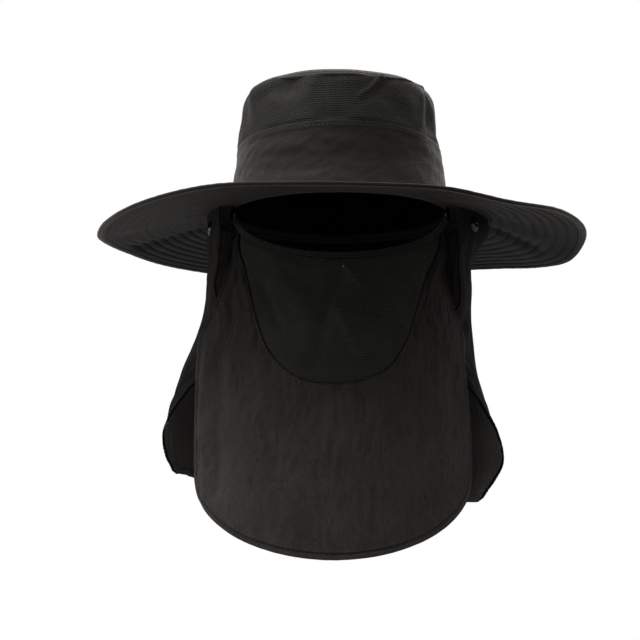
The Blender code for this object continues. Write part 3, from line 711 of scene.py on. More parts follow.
def new_piece(name, vertices, faces, corner_uv, material, node):
    """A finished piece at the origin, smooth, riding on the body and standing for its node."""
    mesh = bpy.data.meshes.new(name)
    mesh.from_pydata(vertices.tolist(), [], faces)
    mesh.polygons.foreach_set("use_smooth", np.ones(len(mesh.polygons), bool))
    if corner_uv is not None:
        layer = mesh.uv_layers.new(name="cloth")
        layer.data.foreach_set("uv", corner_uv.astype(np.float32).ravel())
    mesh.materials.append(material)
    mesh.update()
    piece = bpy.data.objects.new(name, mesh)
    bpy.context.scene.collection.objects.link(piece)
    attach(piece, "root")
    if node:
        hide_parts(node)
    return piece


def cloth(
    name, middle, thickness, material, node, closed=False, uv=None, pole=False, inside=None,
    seam=0.0,
):
    """A cloth piece: a grid's middle surface moved to both sides by half the thickness.

    The outer and inner faces are joined by a rim along every open edge. A pole closes the
    last row with a fan to one point. The grid faces outward, as grid_normals says. Without a
    map, the weave's is the length along the middle row and down each column. The attribute
    seam is 1 in the grooves of stitch rows, and the materials paint shade there.
    """
    rows, columns = middle.shape[:2]
    total = rows * columns
    outer, inner, _ = faces_of(middle, thickness, closed)
    vertices = np.concatenate([outer.reshape(-1, 3), inner.reshape(-1, 3)])
    if uv is None:
        points = wrapped(middle) if closed else middle
        uv = np.broadcast_arrays(lengths(points[rows // 2]), lengths(points))
    uv = np.stack(uv, axis=-1)
    across = columns if closed else columns - 1
    r, c, quads = quads_of(rows, columns, rows - 1, across)
    faces = [quads, quads[:, ::-1] + total]
    corner_uv = [uv[r, c], uv[r, c][:, ::-1]]

    over, down = np.arange(across + 1), np.arange(rows)
    edges = [(over * 0, over)]
    if not pole:
        edges.append((over * 0 + rows - 1, over[::-1]))
    if not closed:
        edges += [(down[::-1], down * 0), (down, down * 0 + columns - 1)]
    for row, column in edges:
        here = row * columns + column % columns
        faces.append(np.stack([here[:-1], here[:-1] + total, here[1:] + total, here[1:]], -1))
        at = uv[row, column]
        corner_uv.append(np.stack([at[:-1], at[:-1], at[1:], at[1:]], axis=1))
    faces = np.concatenate(faces).tolist()
    corner_uv = np.concatenate(corner_uv).reshape(-1, 2)
    if pole:
        vertices = np.concatenate([vertices, [outer[-1].mean(0)], [inner[-1].mean(0)]])
        last = total - columns + np.arange(columns)
        beside = np.roll(last, -1)
        fans = [
            np.stack([last, beside, last * 0 + 2 * total], axis=-1),
            np.stack([beside + total, last + total, last * 0 + 2 * total + 1], axis=-1),
        ]
        fans = np.concatenate(fans)
        faces += fans.tolist()
        corner_uv = np.concatenate([corner_uv, vertices[fans][..., :2].reshape(-1, 2)])
    piece = new_piece(name, vertices, faces, corner_uv, material, node)
    sewn_at = np.broadcast_to(seam, (rows, columns)).ravel()
    sewn_at = np.concatenate([sewn_at, sewn_at, np.zeros(len(vertices) - 2 * total)])
    layer = piece.data.attributes.new("seam", "FLOAT", "POINT")
    layer.data.foreach_set("value", sewn_at.astype(np.float32))
    if inside is not None:
        piece.data.materials.append(inside)
        finish = np.zeros(len(faces), np.int32)
        finish[len(quads) : 2 * len(quads)] = 1
        if pole:
            finish[-across:] = 1
        piece.data.polygons.foreach_set("material_index", finish)
    return piece


def tape(
    name, middle, outward, upward, width, thickness, stitch_lift, material, node, closed, pucker
):
    """A folded binding: a long rounded section carried along a line, and its stitch lines.

    The section runs from the open edge over the top face, round the fold and back under. Its
    thickness dips at the stitch row and swells a little between stitches, by pucker.
    """
    turn = np.linspace(-np.pi / 2, np.pi / 2, 9)[1:-1]
    radius = thickness / 2
    flat = np.linspace(0, width - radius, 12)
    stitch = 0.16 * line_at(flat, 0.25 * width, 0.1 * width)
    lift = radius * (1 - 0.14 * (flat < 0.02 * width) - stitch)
    across = np.concatenate([flat, width - radius + radius * np.cos(turn), flat[::-1]])[::-1]
    up = np.concatenate([-lift, radius * np.sin(turn), lift[::-1]])[::-1]
    section = np.stack([across, up], axis=-1)
    rows, sides = len(middle), len(section)
    order = np.append(np.arange(rows), 0) if closed else np.arange(rows)
    along = lengths(middle[order])
    hills = soft_hills(along[:rows], along[:rows] * 0, 2.6 * MM, 1.0, 11, along[rows - 1])
    points = (
        middle[:, None]
        + across[:, None] * outward[:, None]
        + (up * (1 + pucker * hills[:, None]))[..., None] * upward[:, None]
    )
    r, c, faces = quads_of(rows, sides, len(order) - 1, sides)
    over = lengths(section[[*range(sides), 0]])
    corner_uv = np.stack([along[r], over[c]], axis=-1).reshape(-1, 2)
    faces = faces.tolist()
    if not closed:
        end = np.arange(sides)
        faces += [end[::-1].tolist(), (end + (rows - 1) * sides).tolist()]
        corner_uv = np.concatenate([corner_uv, section[::-1], section])
    piece = new_piece(name, points.reshape(-1, 3), faces, corner_uv, material, node)
    row = middle + TAPE_STITCH * outward
    return piece, [
        ((row + side * stitch_lift * upward)[order], (side * upward)[order]) for side in (1, -1)
    ]


def on_grid(grid, row, column):
    """Places on a grid read between its points: rows and columns blended linearly."""
    rows, columns = grid.shape[:2]
    row = np.clip(row, 0, rows - 1.001)
    column = np.clip(column, 0, columns - 1.001)
    r, c = row.astype(int), column.astype(int)
    a, b = (row - r)[:, None], (column - c)[:, None]
    near = grid[r, c] * (1 - b) + grid[r, c + 1] * b
    far = grid[r + 1, c] * (1 - b) + grid[r + 1, c + 1] * b
    return near * (1 - a) + far * a


def stitch_line(grid, facing, row, column):
    """A line of places and facings on a grid, through fractional rows and columns."""
    row, column = np.broadcast_arrays(np.asarray(row, float), np.asarray(column, float))
    return on_grid(grid, row, column), unit(on_grid(facing, row, column))


def ring_line(grid, facing, row):
    """A line of places and facings all the way round a closed grid."""
    columns = grid.shape[1]
    every = np.linspace(0, columns, 3 * columns + 1)
    return stitch_line(wrapped(grid), wrapped(facing), row, every)


def sewn(name, lines, thread=None, pitch=STITCH_PITCH, length=STITCH_LENGTH):
    """A piece of stitches along lines of places and facings, one every pitch.

    A stitch is a short four-sided thread of four rings: its ends dip into the cloth and its
    middle lies on it, so that ring t is at the place plus t along the line, plus its lift.
    """
    t, lift, radius = (
        np.array(row)[:, None, None]
        for row in (
            [-0.5 * length, -0.28 * length, 0.28 * length, 0.5 * length],
            [-0.25 * MM, 0.16 * MM, 0.16 * MM, -0.25 * MM],
            [0.16 * MM, 0.27 * MM, 0.27 * MM, 0.16 * MM],
        )
    )
    corner = np.radians([45, 135, 225, 315])[:, None]
    hull = quads_of(4, 4, 3, 4)[2][:, [0, 3, 2, 1]]
    hull = np.concatenate([hull, [[0, 1, 2, 3]], [[15, 14, 13, 12]]])
    vertices = []
    for places, facings in lines:
        along = lengths(places)
        at = np.arange(pitch / 2, along[-1] - pitch / 2, pitch)
        here = read_line(places, along, at)
        way = unit(read_line(places, along, at + pitch / 4) - here)
        up = unit(read_line(facings, along, at))
        across = np.cross(up, way)
        here, way, up, across = (a[:, None, None] for a in (here, way, up, across))
        thread_side = across * np.cos(corner) + up * np.sin(corner)
        points = here + way * t + up * lift + thread_side * radius
        vertices.append(points.reshape(-1, 3))
    vertices = np.concatenate(vertices)
    starts = np.arange(0, len(vertices), 16)
    faces = (hull + starts[:, None, None]).reshape(-1, 4).tolist()
    return new_piece(name, vertices, faces, None, thread or THREAD, None)


def stud(name, back, facing):
    """A press stud: the cap's profile of radius and height turned round the way it faces.

    The first and last points lie on the axis and close the form.
    """
    radius, height = np.array(CAP_PROFILE).T * MM
    fine = np.linspace(0, 1, 40)
    share = path_shares(radius, height)
    radius, height = np.interp(fine, share, radius), np.interp(fine, share, height)
    sideways = unit(np.cross(facing, (0.0, 0.0, 1.0)))
    upright = np.cross(sideways, facing)
    turn = np.linspace(0, 2 * np.pi, STUD_SIDES, endpoint=False)[:, None]
    wheel = np.cos(turn) * sideways + np.sin(turn) * upright
    rings = back + radius[1:-1, None, None] * wheel + height[1:-1, None, None] * facing
    ends = back + height[[0, -1], None] * facing
    count = len(rings)
    foot = np.arange(STUD_SIDES)
    beside = np.roll(foot, -1)
    last = (count - 1) * STUD_SIDES
    centre = foot * 0 + count * STUD_SIDES
    faces = quads_of(count, STUD_SIDES, count - 1, STUD_SIDES)[2][:, [0, 3, 2, 1]].tolist()
    faces += np.stack([foot, beside, centre], axis=-1).tolist()
    faces += np.stack([last + beside, last + foot, centre + 1], axis=-1).tolist()
    vertices = np.concatenate([rings.reshape(-1, 3), ends])
    return new_piece(name, vertices, faces, None, METAL, name)


class Value:
    """A number that varies over a surface; Python's operators add Math nodes."""

    def __init__(self, paint, socket):
        self.paint = paint
        self.socket = socket

    def __add__(self, other):
        return self.paint.maths("ADD", self, other)

    def __sub__(self, other):
        return self.paint.maths("SUBTRACT", self, other)

    def __rsub__(self, other):
        return self.paint.maths("SUBTRACT", other, self)

    def __mul__(self, other):
        return self.paint.maths("MULTIPLY", self, other)

    __radd__ = __add__
    __rmul__ = __mul__


class Paint:
    """A material in the making, its shader's even values set from the start."""

    def __init__(self, name, **even):
        self.material = bpy.data.materials.new(name)
        self.material.use_nodes = True
        self.tree = self.material.node_tree
        self.shader = self.tree.nodes["Principled BSDF"]
        for socket, value in even.items():
            self.shader.inputs[socket.replace("_", " ")].default_value = value

    def node(self, kind, settings, sockets):
        """A node of any type: its settings first, then its sockets' values or links."""
        node = self.tree.nodes.new(kind)
        for key, value in settings.items():
            setattr(node, key, value)
        for key, value in sockets.items():
            self.feed(node.inputs[key], value)
        return node

    def feed(self, socket, value):
        """A socket's value set, or a link made to it."""
        if isinstance(value, Value):
            value = value.socket
        if isinstance(value, bpy.types.NodeSocket):
            self.tree.links.new(value, socket)
        else:
            socket.default_value = value

    def maths(self, operation, first, second=0.0):
        """A Math node's result."""
        made = self.node("ShaderNodeMath", {"operation": operation}, {0: first, 1: second})
        return Value(self, made.outputs[0])

    def vector(self, operation, first, second):
        """A Vector Math node's result."""
        made = self.node("ShaderNodeVectorMath", {"operation": operation}, {0: first, 1: second})
        return made.outputs["Value" if operation == "DOT_PRODUCT" else "Vector"]

    def cloth_map(self):
        """Places on the flat cloth, in metres along its rows and down its columns."""
        return self.node("ShaderNodeUVMap", {"uv_map": "cloth"}, {}).outputs[0]

    def seam(self):
        """How deep in a sewn groove a place is, from 0 to 1."""
        made = self.node("ShaderNodeAttribute", {"attribute_name": "seam"}, {})
        return Value(self, made.outputs["Fac"])

    def along(self, way, places=None):
        """How far along a way places are: those given, or the piece's own, in metres."""
        places = self.places() if places is None else places
        return Value(self, self.vector("DOT_PRODUCT", places, way))

    def places(self):
        """Places on the piece in its own frame, in metres."""
        return self.node("ShaderNodeTexCoord", {}, {}).outputs["Object"]

    def noise(self, places, cells, detail=2.0, roughness=0.5, distortion=0.0, turn=0.0):
        """Cloudy noise with cells of the given sizes in metres, from 0 to 1."""
        if turn:
            sockets = {"Vector": places, "Rotation": (0.0, 0.0, np.radians(turn))}
            places = self.node("ShaderNodeMapping", {}, sockets).outputs[0]
        scaled = self.vector("MULTIPLY", places, tuple(1 / c for c in cells))
        sockets = {"Vector": scaled, "Scale": 1.0, "Detail": detail}
        sockets |= {"Roughness": roughness, "Distortion": distortion}
        return Value(self, self.node("ShaderNodeTexNoise", {}, sockets).outputs[0])

    def ridges(self, noise):
        """Sharp ridges where a noise passes its middle: 1 minus twice its distance from it."""
        return 1 - self.maths("ABSOLUTE", noise - 0.5) * 2

    def wave(self, places, way):
        """A cosine along a way given in radians a metre, from -1 to 1."""
        return self.maths("COSINE", self.along(way, places))

    def between(self, low, high, value):
        """A soft step from 0 to 1 as a value passes from low to high."""
        settings = {"interpolation_type": "SMOOTHSTEP"}
        sockets = {"Value": value, "From Min": low, "From Max": high}
        return Value(self, self.node("ShaderNodeMapRange", settings, sockets).outputs[0])

    def mix(self, share, first, second):
        """A colour between two by a share."""
        settings = {"data_type": "RGBA"}
        ends = [(*c, 1.0) if isinstance(c, tuple) else c for c in (first, second)]
        sockets = {0: share, 6: ends[0], 7: ends[1]}
        return self.node("ShaderNodeMix", settings, sockets).outputs[2]

    def finish(self, colour, roughness=None, height=None, depth=1.0):
        """The varying colour, roughness and relief joined to the shader."""
        self.feed(self.shader.inputs["Base Color"], colour)
        if roughness is not None:
            self.feed(self.shader.inputs["Roughness"], roughness)
        if height is not None:
            sockets = {"Strength": 1.0, "Distance": depth, "Height": height}
            bump = self.node("ShaderNodeBump", {}, sockets)
            self.feed(self.shader.inputs["Normal"], bump.outputs[0])
        return self.material


def tinted(tone, share):
    """A tone made lighter or darker."""
    return tuple(share * c for c in tone)


def cloth_paint(name, sheen):
    """A matt cloth's shader: little gloss and a warm sheen."""
    return Paint(
        name, Specular_IOR_Level=CLOTH_GLOSS, Sheen_Weight=sheen, Sheen_Roughness=0.32,
        Sheen_Tint=SHEEN_TINT,
    )


def crinkled_nylon(
    name, tone, roughness, creases, turn=0.0, sheen=0.18, relief=0.8, fade=None, contrast=1.0
):
    """Matt crinkled nylon: ridged noise stretched along the cloth, a fine weave, faint blooms.

    Stitch grooves are painted darker, as painted shade. The crinkles' ridges are painted
    lighter than their hollows, partly random tone and partly painted highlight. A fade paints
    shade: it is a way, the distances along it that it runs between and the share of the colour
    that is left at its start.
    """
    paint = cloth_paint(name, sheen)
    cloth_at = paint.cloth_map()
    coarse = paint.ridges(paint.noise(cloth_at, (*creases, 1.0), 3.0, 0.6, 0.8, turn))
    fine = paint.noise(cloth_at, (creases[0] / 2.2, creases[1] / 3.5, 1.0), 3.0, 0.65, 0.4, turn)
    threads = paint.wave(cloth_at, (WEAVE_TURN, 0.0, 0.0))
    threads = threads * paint.wave(cloth_at, (0.0, WEAVE_TURN, 0.0))
    bloom = paint.noise(paint.places(), (0.035, 0.035, 0.035), 3.0)
    # The crinkles' ridges are lighter: partly random tone, partly painted highlight.
    light = contrast * (0.6 * coarse + 0.8 * fine + 0.5 * bloom - 1.05) + 0.55
    colour = paint.mix(light, tinted(tone, 0.25), tinted(tone, 1.75))
    # Painted shade: darker in the stitch grooves, and along the fade's way.
    shadow = 0.8 * paint.seam()
    if fade:
        way, start, end, least = fade
        shadow = shadow + (1 - least) * (1 - paint.between(start, end, paint.along(way)))
    colour = paint.mix(shadow, colour, tinted(tone, 0.05))
    height = coarse * 0.5 + fine * 0.5 + threads * 0.03 - 0.6 * paint.seam()
    return paint.finish(colour, 0.16 * fine + (roughness - 0.08), height, relief * MM)


def air_mesh(name, tone, roughness, sheen=0.08, pitch=MESH_PITCH):
    """Knitted mesh: round holes on a three-way lattice, the sum of three cosines."""
    paint = cloth_paint(name, sheen)
    cloth_at = paint.cloth_map()
    turns = 4 * np.pi / (np.sqrt(3) * pitch)
    ways = [(np.sin(a) * turns, np.cos(a) * turns, 0.0) for a in np.radians([0, 120, 240])]
    lattice = paint.wave(cloth_at, ways[0]) + paint.wave(cloth_at, ways[1])
    lattice = lattice + paint.wave(cloth_at, ways[2])
    hole = paint.between(-0.3, 1.2, lattice)
    bloom = paint.noise(paint.places(), (0.02, 0.02, 0.02), 3.0)
    yarn = paint.noise(cloth_at, (0.0007, 0.0007, 1.0), 2.0)
    solid = (1 - hole) * (0.5 * bloom + 0.7 * yarn + 0.1)
    colour = paint.mix(solid, tinted(tone, 0.04), tinted(tone, 3.0))
    height = (1 - hole) + yarn * 0.3
    return paint.finish(colour, 0.1 * yarn + roughness, height, 0.7 * MM)


def binding_tape(name, tone, width):
    """Woven tape folded over an edge: fine ribs across it, and a darker stitch row and edges."""
    paint = cloth_paint(name, 0.14)
    cloth_at = paint.cloth_map()
    ribs = paint.wave(cloth_at, (2 * np.pi / RIB_PITCH, 0.0, 0.0))
    rub = paint.noise(cloth_at, (0.006, 0.002, 1.0), 3.0)
    pucker = paint.noise(cloth_at, (0.0028, 0.006, 1.0), 2.0)
    down = paint.along((0.0, 1.0, 0.0), cloth_at)
    from_fold = paint.maths("ABSOLUTE", down - TAPE_FOLD * width)
    edge = paint.between(0.86 * width, 0.97 * width, from_fold)
    row = 1 - paint.between(0.0, 0.11 * width, paint.maths("ABSOLUTE", from_fold - 0.74 * width))
    # Painted shade along the tape's edges and in its stitch row.
    shadow = 0.85 * edge + 0.75 * row
    colour = paint.mix(0.8 * rub + 0.1 * ribs, tinted(tone, 0.6), tinted(tone, 1.6))
    colour = paint.mix(shadow, colour, tinted(tone, 0.08))
    height = 0.1 * ribs + 0.7 * pucker - 0.8 * row
    return paint.finish(colour, 0.1 * rub + 0.58, height, 0.45 * MM)


def sewing_thread(name, tone):
    """Spun thread, with a fleck along it."""
    paint = Paint(name, Specular_IOR_Level=0.15, Sheen_Weight=0.05)
    fleck = paint.noise(paint.places(), (0.0006, 0.0006, 0.0006), 2.0)
    colour = paint.mix(fleck, tinted(tone, 0.6), tinted(tone, 1.5))
    return paint.finish(colour, 0.2 * fleck + 0.45)


def stud_metal(name, tone):
    """Dark plated metal with fine handling scratches and duller spots."""
    paint = Paint(name, Metallic=1.0)
    at = paint.places()
    spots = paint.noise(at, (0.0015, 0.0015, 0.0015), 3.0)
    scratches = paint.noise(at, (0.0002, 0.004, 0.0006), 2.0)
    colour = paint.mix(spots, tinted(tone, 0.7), tinted(tone, 1.25))
    height = 0.5 * scratches + 0.5 * spots
    return paint.finish(colour, 0.22 * spots + 0.12 * scratches + 0.1, height, 0.03 * MM)


SHEEN_TINT = (1.0, 0.88, 0.80, 1.0)
CLOTH_GLOSS = 0.05
WEAVE_TURN = 2 * np.pi / (0.55 * MM)
RIB_PITCH = 0.9 * MM
TAPE_FOLD = 1.06

NYLON_TINT = (1.0, 0.87, 0.78)
LOBE_TINT = (1.0, 0.94, 0.92)
MESH_TINT = (1.0, 0.98, 0.86)

# The same black nylon and mesh take a different tone on each piece, set to how lit or shaded each
# piece looks: these tones are painted light and shade.
TIP_CLOTH = crinkled_nylon("tip_nylon", tinted(NYLON_TINT, 0.0058), 0.66, (0.006, 0.006))
# Painted shade: the band is darker towards its top.
BAND_CLOTH = crinkled_nylon(
    "band_nylon", tinted(NYLON_TINT, 0.0125), 0.64, (0.0055, 0.0028), -25.0, 0.2, 0.65,
    ((0.0, 0.0, -1.0), -0.036, -0.002, 0.28),
)
# Painted shade: the brim is a darker copy of the nylon.
BRIM_CLOTH = crinkled_nylon(
    "brim_nylon", tinted(NYLON_TINT, 0.0056), 0.7, (0.0035, 0.007), 0, 0.03
)
# Painted shade: the neck flap's outer face is a darker copy, and darker still from about 70 mm
# down.
FLAP_CLOTH = crinkled_nylon(
    "flap_nylon", tinted(NYLON_TINT, 0.0052), 0.9, (0.0018, 0.006), 0, 0.0, 1.2,
    ((0.0, 0.0, 1.0), -0.15, -0.07, 0.1),
)
# Painted light and shade: the flap's inner face is lighter at the lobes and darker towards the
# back, the top and the wearer's left.
FLAP_INSIDE = crinkled_nylon(
    "flap_inside", tinted(LOBE_TINT, 0.0230), 0.7, (0.0018, 0.006), 0, 0.1, 1.2,
    ((-0.6, -1.0, -0.5), -0.07, 0.11, 0.02),
)
# Painted shade: the face cover is darker towards its top, under the brim.
COVER_CLOTH = crinkled_nylon(
    "cover_nylon", tinted(NYLON_TINT, 0.0118), 0.75, (0.0017, 0.0055), 0, 0.03, 2.5,
    ((0.0, 0.0, -1.0), 0.05, 0.23, 0.15), 1.7,
)
CROWN_NET = air_mesh("crown_air_mesh", tinted(MESH_TINT, 0.0031), 0.62, 0.06)
COVER_NET = air_mesh("cover_air_mesh", tinted(MESH_TINT, 0.0034), 0.7, 0.05, INSERT_PITCH)
# Painted shade: the crown's inner faces are near black, the shade of the hollow.
INSIDE = crinkled_nylon("inside_nylon", tinted(NYLON_TINT, 0.0005), 0.9, (0.006, 0.006), 0, 0.0)
NET_INSIDE = air_mesh("inside_air_mesh", tinted(MESH_TINT, 0.0005), 0.9, 0.0)
BRIM_TAPE = binding_tape("brim_binding_tape", tinted(NYLON_TINT, 0.0045), BRIM_BINDING_WIDTH)
NOSE_TAPE = binding_tape("nose_binding_tape", tinted(NYLON_TINT, 0.0045), NOSE_BINDING_WIDTH)
THREAD = sewing_thread("sewing_thread", tinted(NYLON_TINT, 0.0030))
PALE_THREAD = sewing_thread("pale_thread", (0.12, 0.12, 0.11))
METAL = stud_metal("stud_metal", (0.035, 0.035, 0.035))


def line_at(distance, place, width):
    """A bell of height 1 where a distance is near a place."""
    return np.exp(-(((distance - place) / width) ** 2))


def hem_wall(distance, thin, thick, width, stitch_at, groove=0.55 * MM):
    """A wall that is thicker in its hem, with a groove along the stitch line."""
    fold = 1 - smooth_step((distance - width) / (0.8 * MM))
    return thin + (thick - thin) * fold - groove * line_at(distance, stitch_at, 0.75 * MM)


def creased(u, v, cell_u, cell_v, seed):
    """Sharp ridges where soft hills pass their middle: 1 minus twice their distance from it."""
    return 1 - 2 * np.abs(soft_hills(u, v, cell_u, cell_v, seed))


def spaced(length, step, start_hem=0.0, end_hem=0.0):
    """Places along a length, a step apart, and closer in the hems at its ends."""
    middle = np.linspace(
        start_hem, length - end_hem, round((length - start_hem - end_hem) / step) + 1
    )
    start = np.arange(0, start_hem - HEM_STEP / 2, HEM_STEP)
    end = length - np.arange(0, end_hem - HEM_STEP / 2, HEM_STEP)[::-1]
    return np.concatenate([start, middle, end])


def circle(count):
    """Angles all the way round, from the back over the front."""
    return np.linspace(-180, 180, count, endpoint=False)


def crown_grid(angle, start, end, rows):
    """A grid round the crown, its rows shares of the way between two lines on its outline."""
    return crown_point(angle[None], start + (end - start) * rows[:, None])


def leaning_folds(angle, level, rows, fade):
    """Folds that run up or out from an angle, each a bell across its width, added up.

    A fold lasts between two levels, fades in and out there, and leans as the level grows.
    """
    total = np.zeros(np.broadcast(angle, level).shape)
    for at, low, high, lean, width, height in zip(*rows.values()):
        window = smooth_step((level - low) / fade) * smooth_step((high - level) / fade)
        away = turned(angle - at - lean * (level - 0.5)) / width
        total = total + height * MM * window * np.exp(-(away**2))
    return total


def make_tip():
    """The crown's top: gathered along its seam by 0.9 mm, waved by 0.8 mm further in.

    The gathers fall off, and the waves grow, exponentially with the distance from the seam.
    The weave is laid flat from the pole, each place as far out as its length down the cloth.
    """
    angle = circle(180)
    start = along_at(tip_seam(angle) - 0.4 * MM)
    grid = crown_grid(angle, start, TIP_POLE, spaced(1.0, 0.022))
    inward = lengths(grid)
    across = middle_girth(grid)[None, :-1]
    gathers = soft_hills(across, inward, 9 * MM, 40 * MM, 21, across[0, -1])
    waves = soft_hills(grid[..., 0], grid[..., 1], 26 * MM, 34 * MM, 22)
    rise = 0.9 * MM * gathers * np.exp(-inward / (9 * MM))
    rise = rise + 0.8 * MM * waves * (1 - np.exp(-inward / (8 * MM)))
    grid = raised(grid, rise, closed=True)
    to_pole = inward[-1:] - inward + POLE_RADIUS
    turn = np.radians(angle)
    uv = wrapped(to_pole * np.sin(turn)), wrapped(-to_pole * np.cos(turn))
    wall = hem_wall(inward, CLOTH, 1.5 * MM, 2.5 * MM, TIP_STITCH, 0.3 * MM)
    # seam marks where the material paints shade in the stitch groove.
    seam = 0.6 * line_at(inward, TIP_STITCH, 0.9 * MM)
    return cloth("tip_cloth", grid, wall, TIP_CLOTH, "crown_tip", True, uv, True, INSIDE, seam)


def make_mesh_ring():
    """The crown's mesh ring: slanting waves, puckers that fade upward, and the table's folds.

    It is calm near both seams and drawn in under the band and the tip. The mesh's holes are
    counted to a whole number round the crown.
    """
    angle = circle(306)
    start, end = along_at(band_top(angle) - 2.0 * MM), along_at(tip_seam(angle) + 0.5 * MM)
    grid = crown_grid(angle, start, end, spaced(1.0, 1 / 62))
    up, girth = lengths(grid), middle_girth(grid)
    across, tall = girth[None, :-1], up[-1:]
    inside = smooth_step(up / (6 * MM)) * smooth_step((tall - up) / (5 * MM))
    puckers = soft_hills(across, up, 11 * MM, 26 * MM, 31, girth[-1]) * (1 - up / tall) ** 2
    waves = soft_hills(across + 0.5 * up, up, 24 * MM, 13 * MM, 32, girth[-1])
    drawn_in = MM * (1 - smooth_step(up / (3 * MM)))
    drawn_in = drawn_in + 0.35 * MM * smooth_step(1 - (tall - up) / (2 * MM))
    rise = inside * MM * (1.1 * waves + 0.9 * puckers) - drawn_in
    rise = rise + leaning_folds(angle[None], up / tall, CROWN_FOLDS, 0.25)
    grid = raised(grid, rise, closed=True)
    even = round(girth[-1] / MESH_PITCH) * MESH_PITCH / girth[-1]
    uv = np.broadcast_arrays(girth * even, wrapped(up))
    return cloth("mesh_ring", grid, CLOTH, CROWN_NET, "crown_mesh", True, uv, inside=NET_INSIDE)


def make_band():
    """The crown's band, with slanting wrinkles of two sizes and a long wave.

    They are calm near both seams, where the stitches pucker the cloth. Its stitch lines run
    round under its upper edge and at its foot.
    """
    angle = circle(330)
    end = along_at(band_top(angle) - GAP / 2)
    rows = spaced(50.0, 0.9, 3.0, 8.0) / 50
    grid = crown_grid(angle, along_at(GAP) - 0.004, end, rows)
    up, girth = lengths(grid), middle_girth(grid)
    across, tall = girth[None, :-1], up[-1:]
    inside = smooth_step(up / (7 * MM)) * smooth_step((tall - up) / (7 * MM))
    wrinkles = soft_hills(across + 1.3 * up, up, 21 * MM, 9 * MM, 41, girth[-1])
    small = soft_hills(across - 0.6 * up, up, 6.5 * MM, 5 * MM, 42, girth[-1])
    waves = soft_hills(across, up, 45 * MM, 60 * MM, 43, girth[-1])
    puckers = soft_hills(across, up, 6 * MM, 90 * MM, 44, girth[-1])
    near_seam = np.exp(-(tall - up) / (4 * MM)) + 0.6 * np.exp(-up / (4 * MM))
    rise = inside * MM * (0.6 * wrinkles + 0.28 * small + 0.5 * waves)
    grid = raised(grid, rise + 0.22 * MM * puckers * near_seam, closed=True)
    from_top = tall - up
    wall = hem_wall(from_top, CLOTH, 1.65 * MM, 5.0 * MM, BAND_TOP_STITCH, 0.15 * MM)
    foot = line_at(up, BAND_FOOT_STITCH, 0.8 * MM)
    wall = wall - 0.4 * MM * foot
    # seam marks where the material paints shade along the stitch rows, most at the foot.
    seam = 0.15 * line_at(from_top, BAND_TOP_STITCH, 0.6 * MM) + 0.7 * foot
    piece = cloth(
        "band_cloth", grid, wall, BAND_CLOTH, "crown_band", True, inside=INSIDE, seam=seam
    )
    outer, _, facing = faces_of(grid, wall, True)
    top_row = len(grid) - 1 - BAND_TOP_STITCH / (HEM_STEP * MM)
    foot_row = BAND_FOOT_STITCH / (HEM_STEP * MM)
    return piece, [ring_line(outer, facing, row) for row in (top_row, foot_row)]


def make_brim():
    """The brim: padded lanes between stitch rows, puckered, waved and creased.

    A lane's padding is the sine of its phase to the power 0.7, and a third of that at the
    wearer's front right. The rise fades out at the crown and at the binding. Its stitch
    lines are those of the top, then those of the underside.
    """
    around = -circle(310)
    parts = STITCH_ROWS * ROW_PARTS
    share = np.append(np.arange(0, RIM_SHARE * parts) / parts, RIM_SHARE)[:, None]
    grid = brim_point(around[None], share)
    out, girth = lengths(grid), middle_girth(grid)
    across = girth[None, :-1]
    phase = share * STITCH_ROWS
    tuft = np.abs(np.sin(np.pi * phase))
    lane = np.floor(phase)
    puckers = tuft * soft_hills(
        across + 37 * MM * lane, 3 * lane * MM, 5.5 * MM, MM, 51, girth[-1]
    )
    long_puckers = soft_hills(across, out, 13 * MM, 30 * MM, 52, girth[-1])
    waves = soft_hills(across, out, 62 * MM, 80 * MM, 53, girth[-1])
    rise = MM * (0.3 * long_puckers + 0.6 * waves) * smooth_step(share / 0.15)
    rise = rise + 0.16 * MM * puckers + leaning_folds(around[None], share, BRIM_CREASES, 0.18)
    rise = rise * smooth_step((RIM_SHARE - share) / 0.09)
    grid = raised(grid, rise, closed=True)
    flatter = smooth_step((around + 108) / 14) * smooth_step((-8 - around) / 40)
    padding = 2.1 * MM * tuft**0.7 - 1.1 * MM + 0.15 * MM * puckers
    wall = BRIM_THICKNESS + (1 - 0.65 * flatter) * padding
    at_crown = 1 - smooth_step(share / 0.035)
    wall = wall + (BRIM_THICKNESS + 0.4 * MM - wall) * at_crown
    # seam marks painted shade in the grooves between lanes, a quarter as dark where they are
    # flatter.
    seam = np.clip(1 - tuft / 0.62, 0, 1) * smooth_step(share / 0.04) * (1 - 0.75 * flatter)
    uv = np.broadcast_arrays(girth[None], share * BRIM_BREADTH)
    piece = cloth("brim_cloth", grid, wall, BRIM_CLOTH, "brim", True, uv, seam=seam)
    top, under, facing = faces_of(grid, wall, True)
    rows = range(ROW_PARTS, int(STITCH_ROWS * RIM_SHARE) * ROW_PARTS + 1, ROW_PARTS)
    top_lines = [ring_line(top, facing, row) for row in rows]
    return piece, top_lines, [ring_line(under, -facing, row) for row in rows]


def make_brim_tape():
    """The binding round the rim, drawn a little over the brim's cloth."""
    path = circle(420)
    edge = brim_point(path, RIM_SHARE + GAP_SHARE - 0.006)
    outward = unit(brim_point(path, 1.0) - brim_point(path, RIM_SHARE))
    along = unit(np.roll(edge, -1, axis=0) - np.roll(edge, 1, axis=0))
    return tape(
        "brim_tape", edge, outward, unit(np.cross(outward, along)), BRIM_BINDING_WIDTH + 0.6 * MM,
        BINDING_THICKNESS, 1.33 * MM, BRIM_TAPE, "brim_binding", True, 0.1,
    )


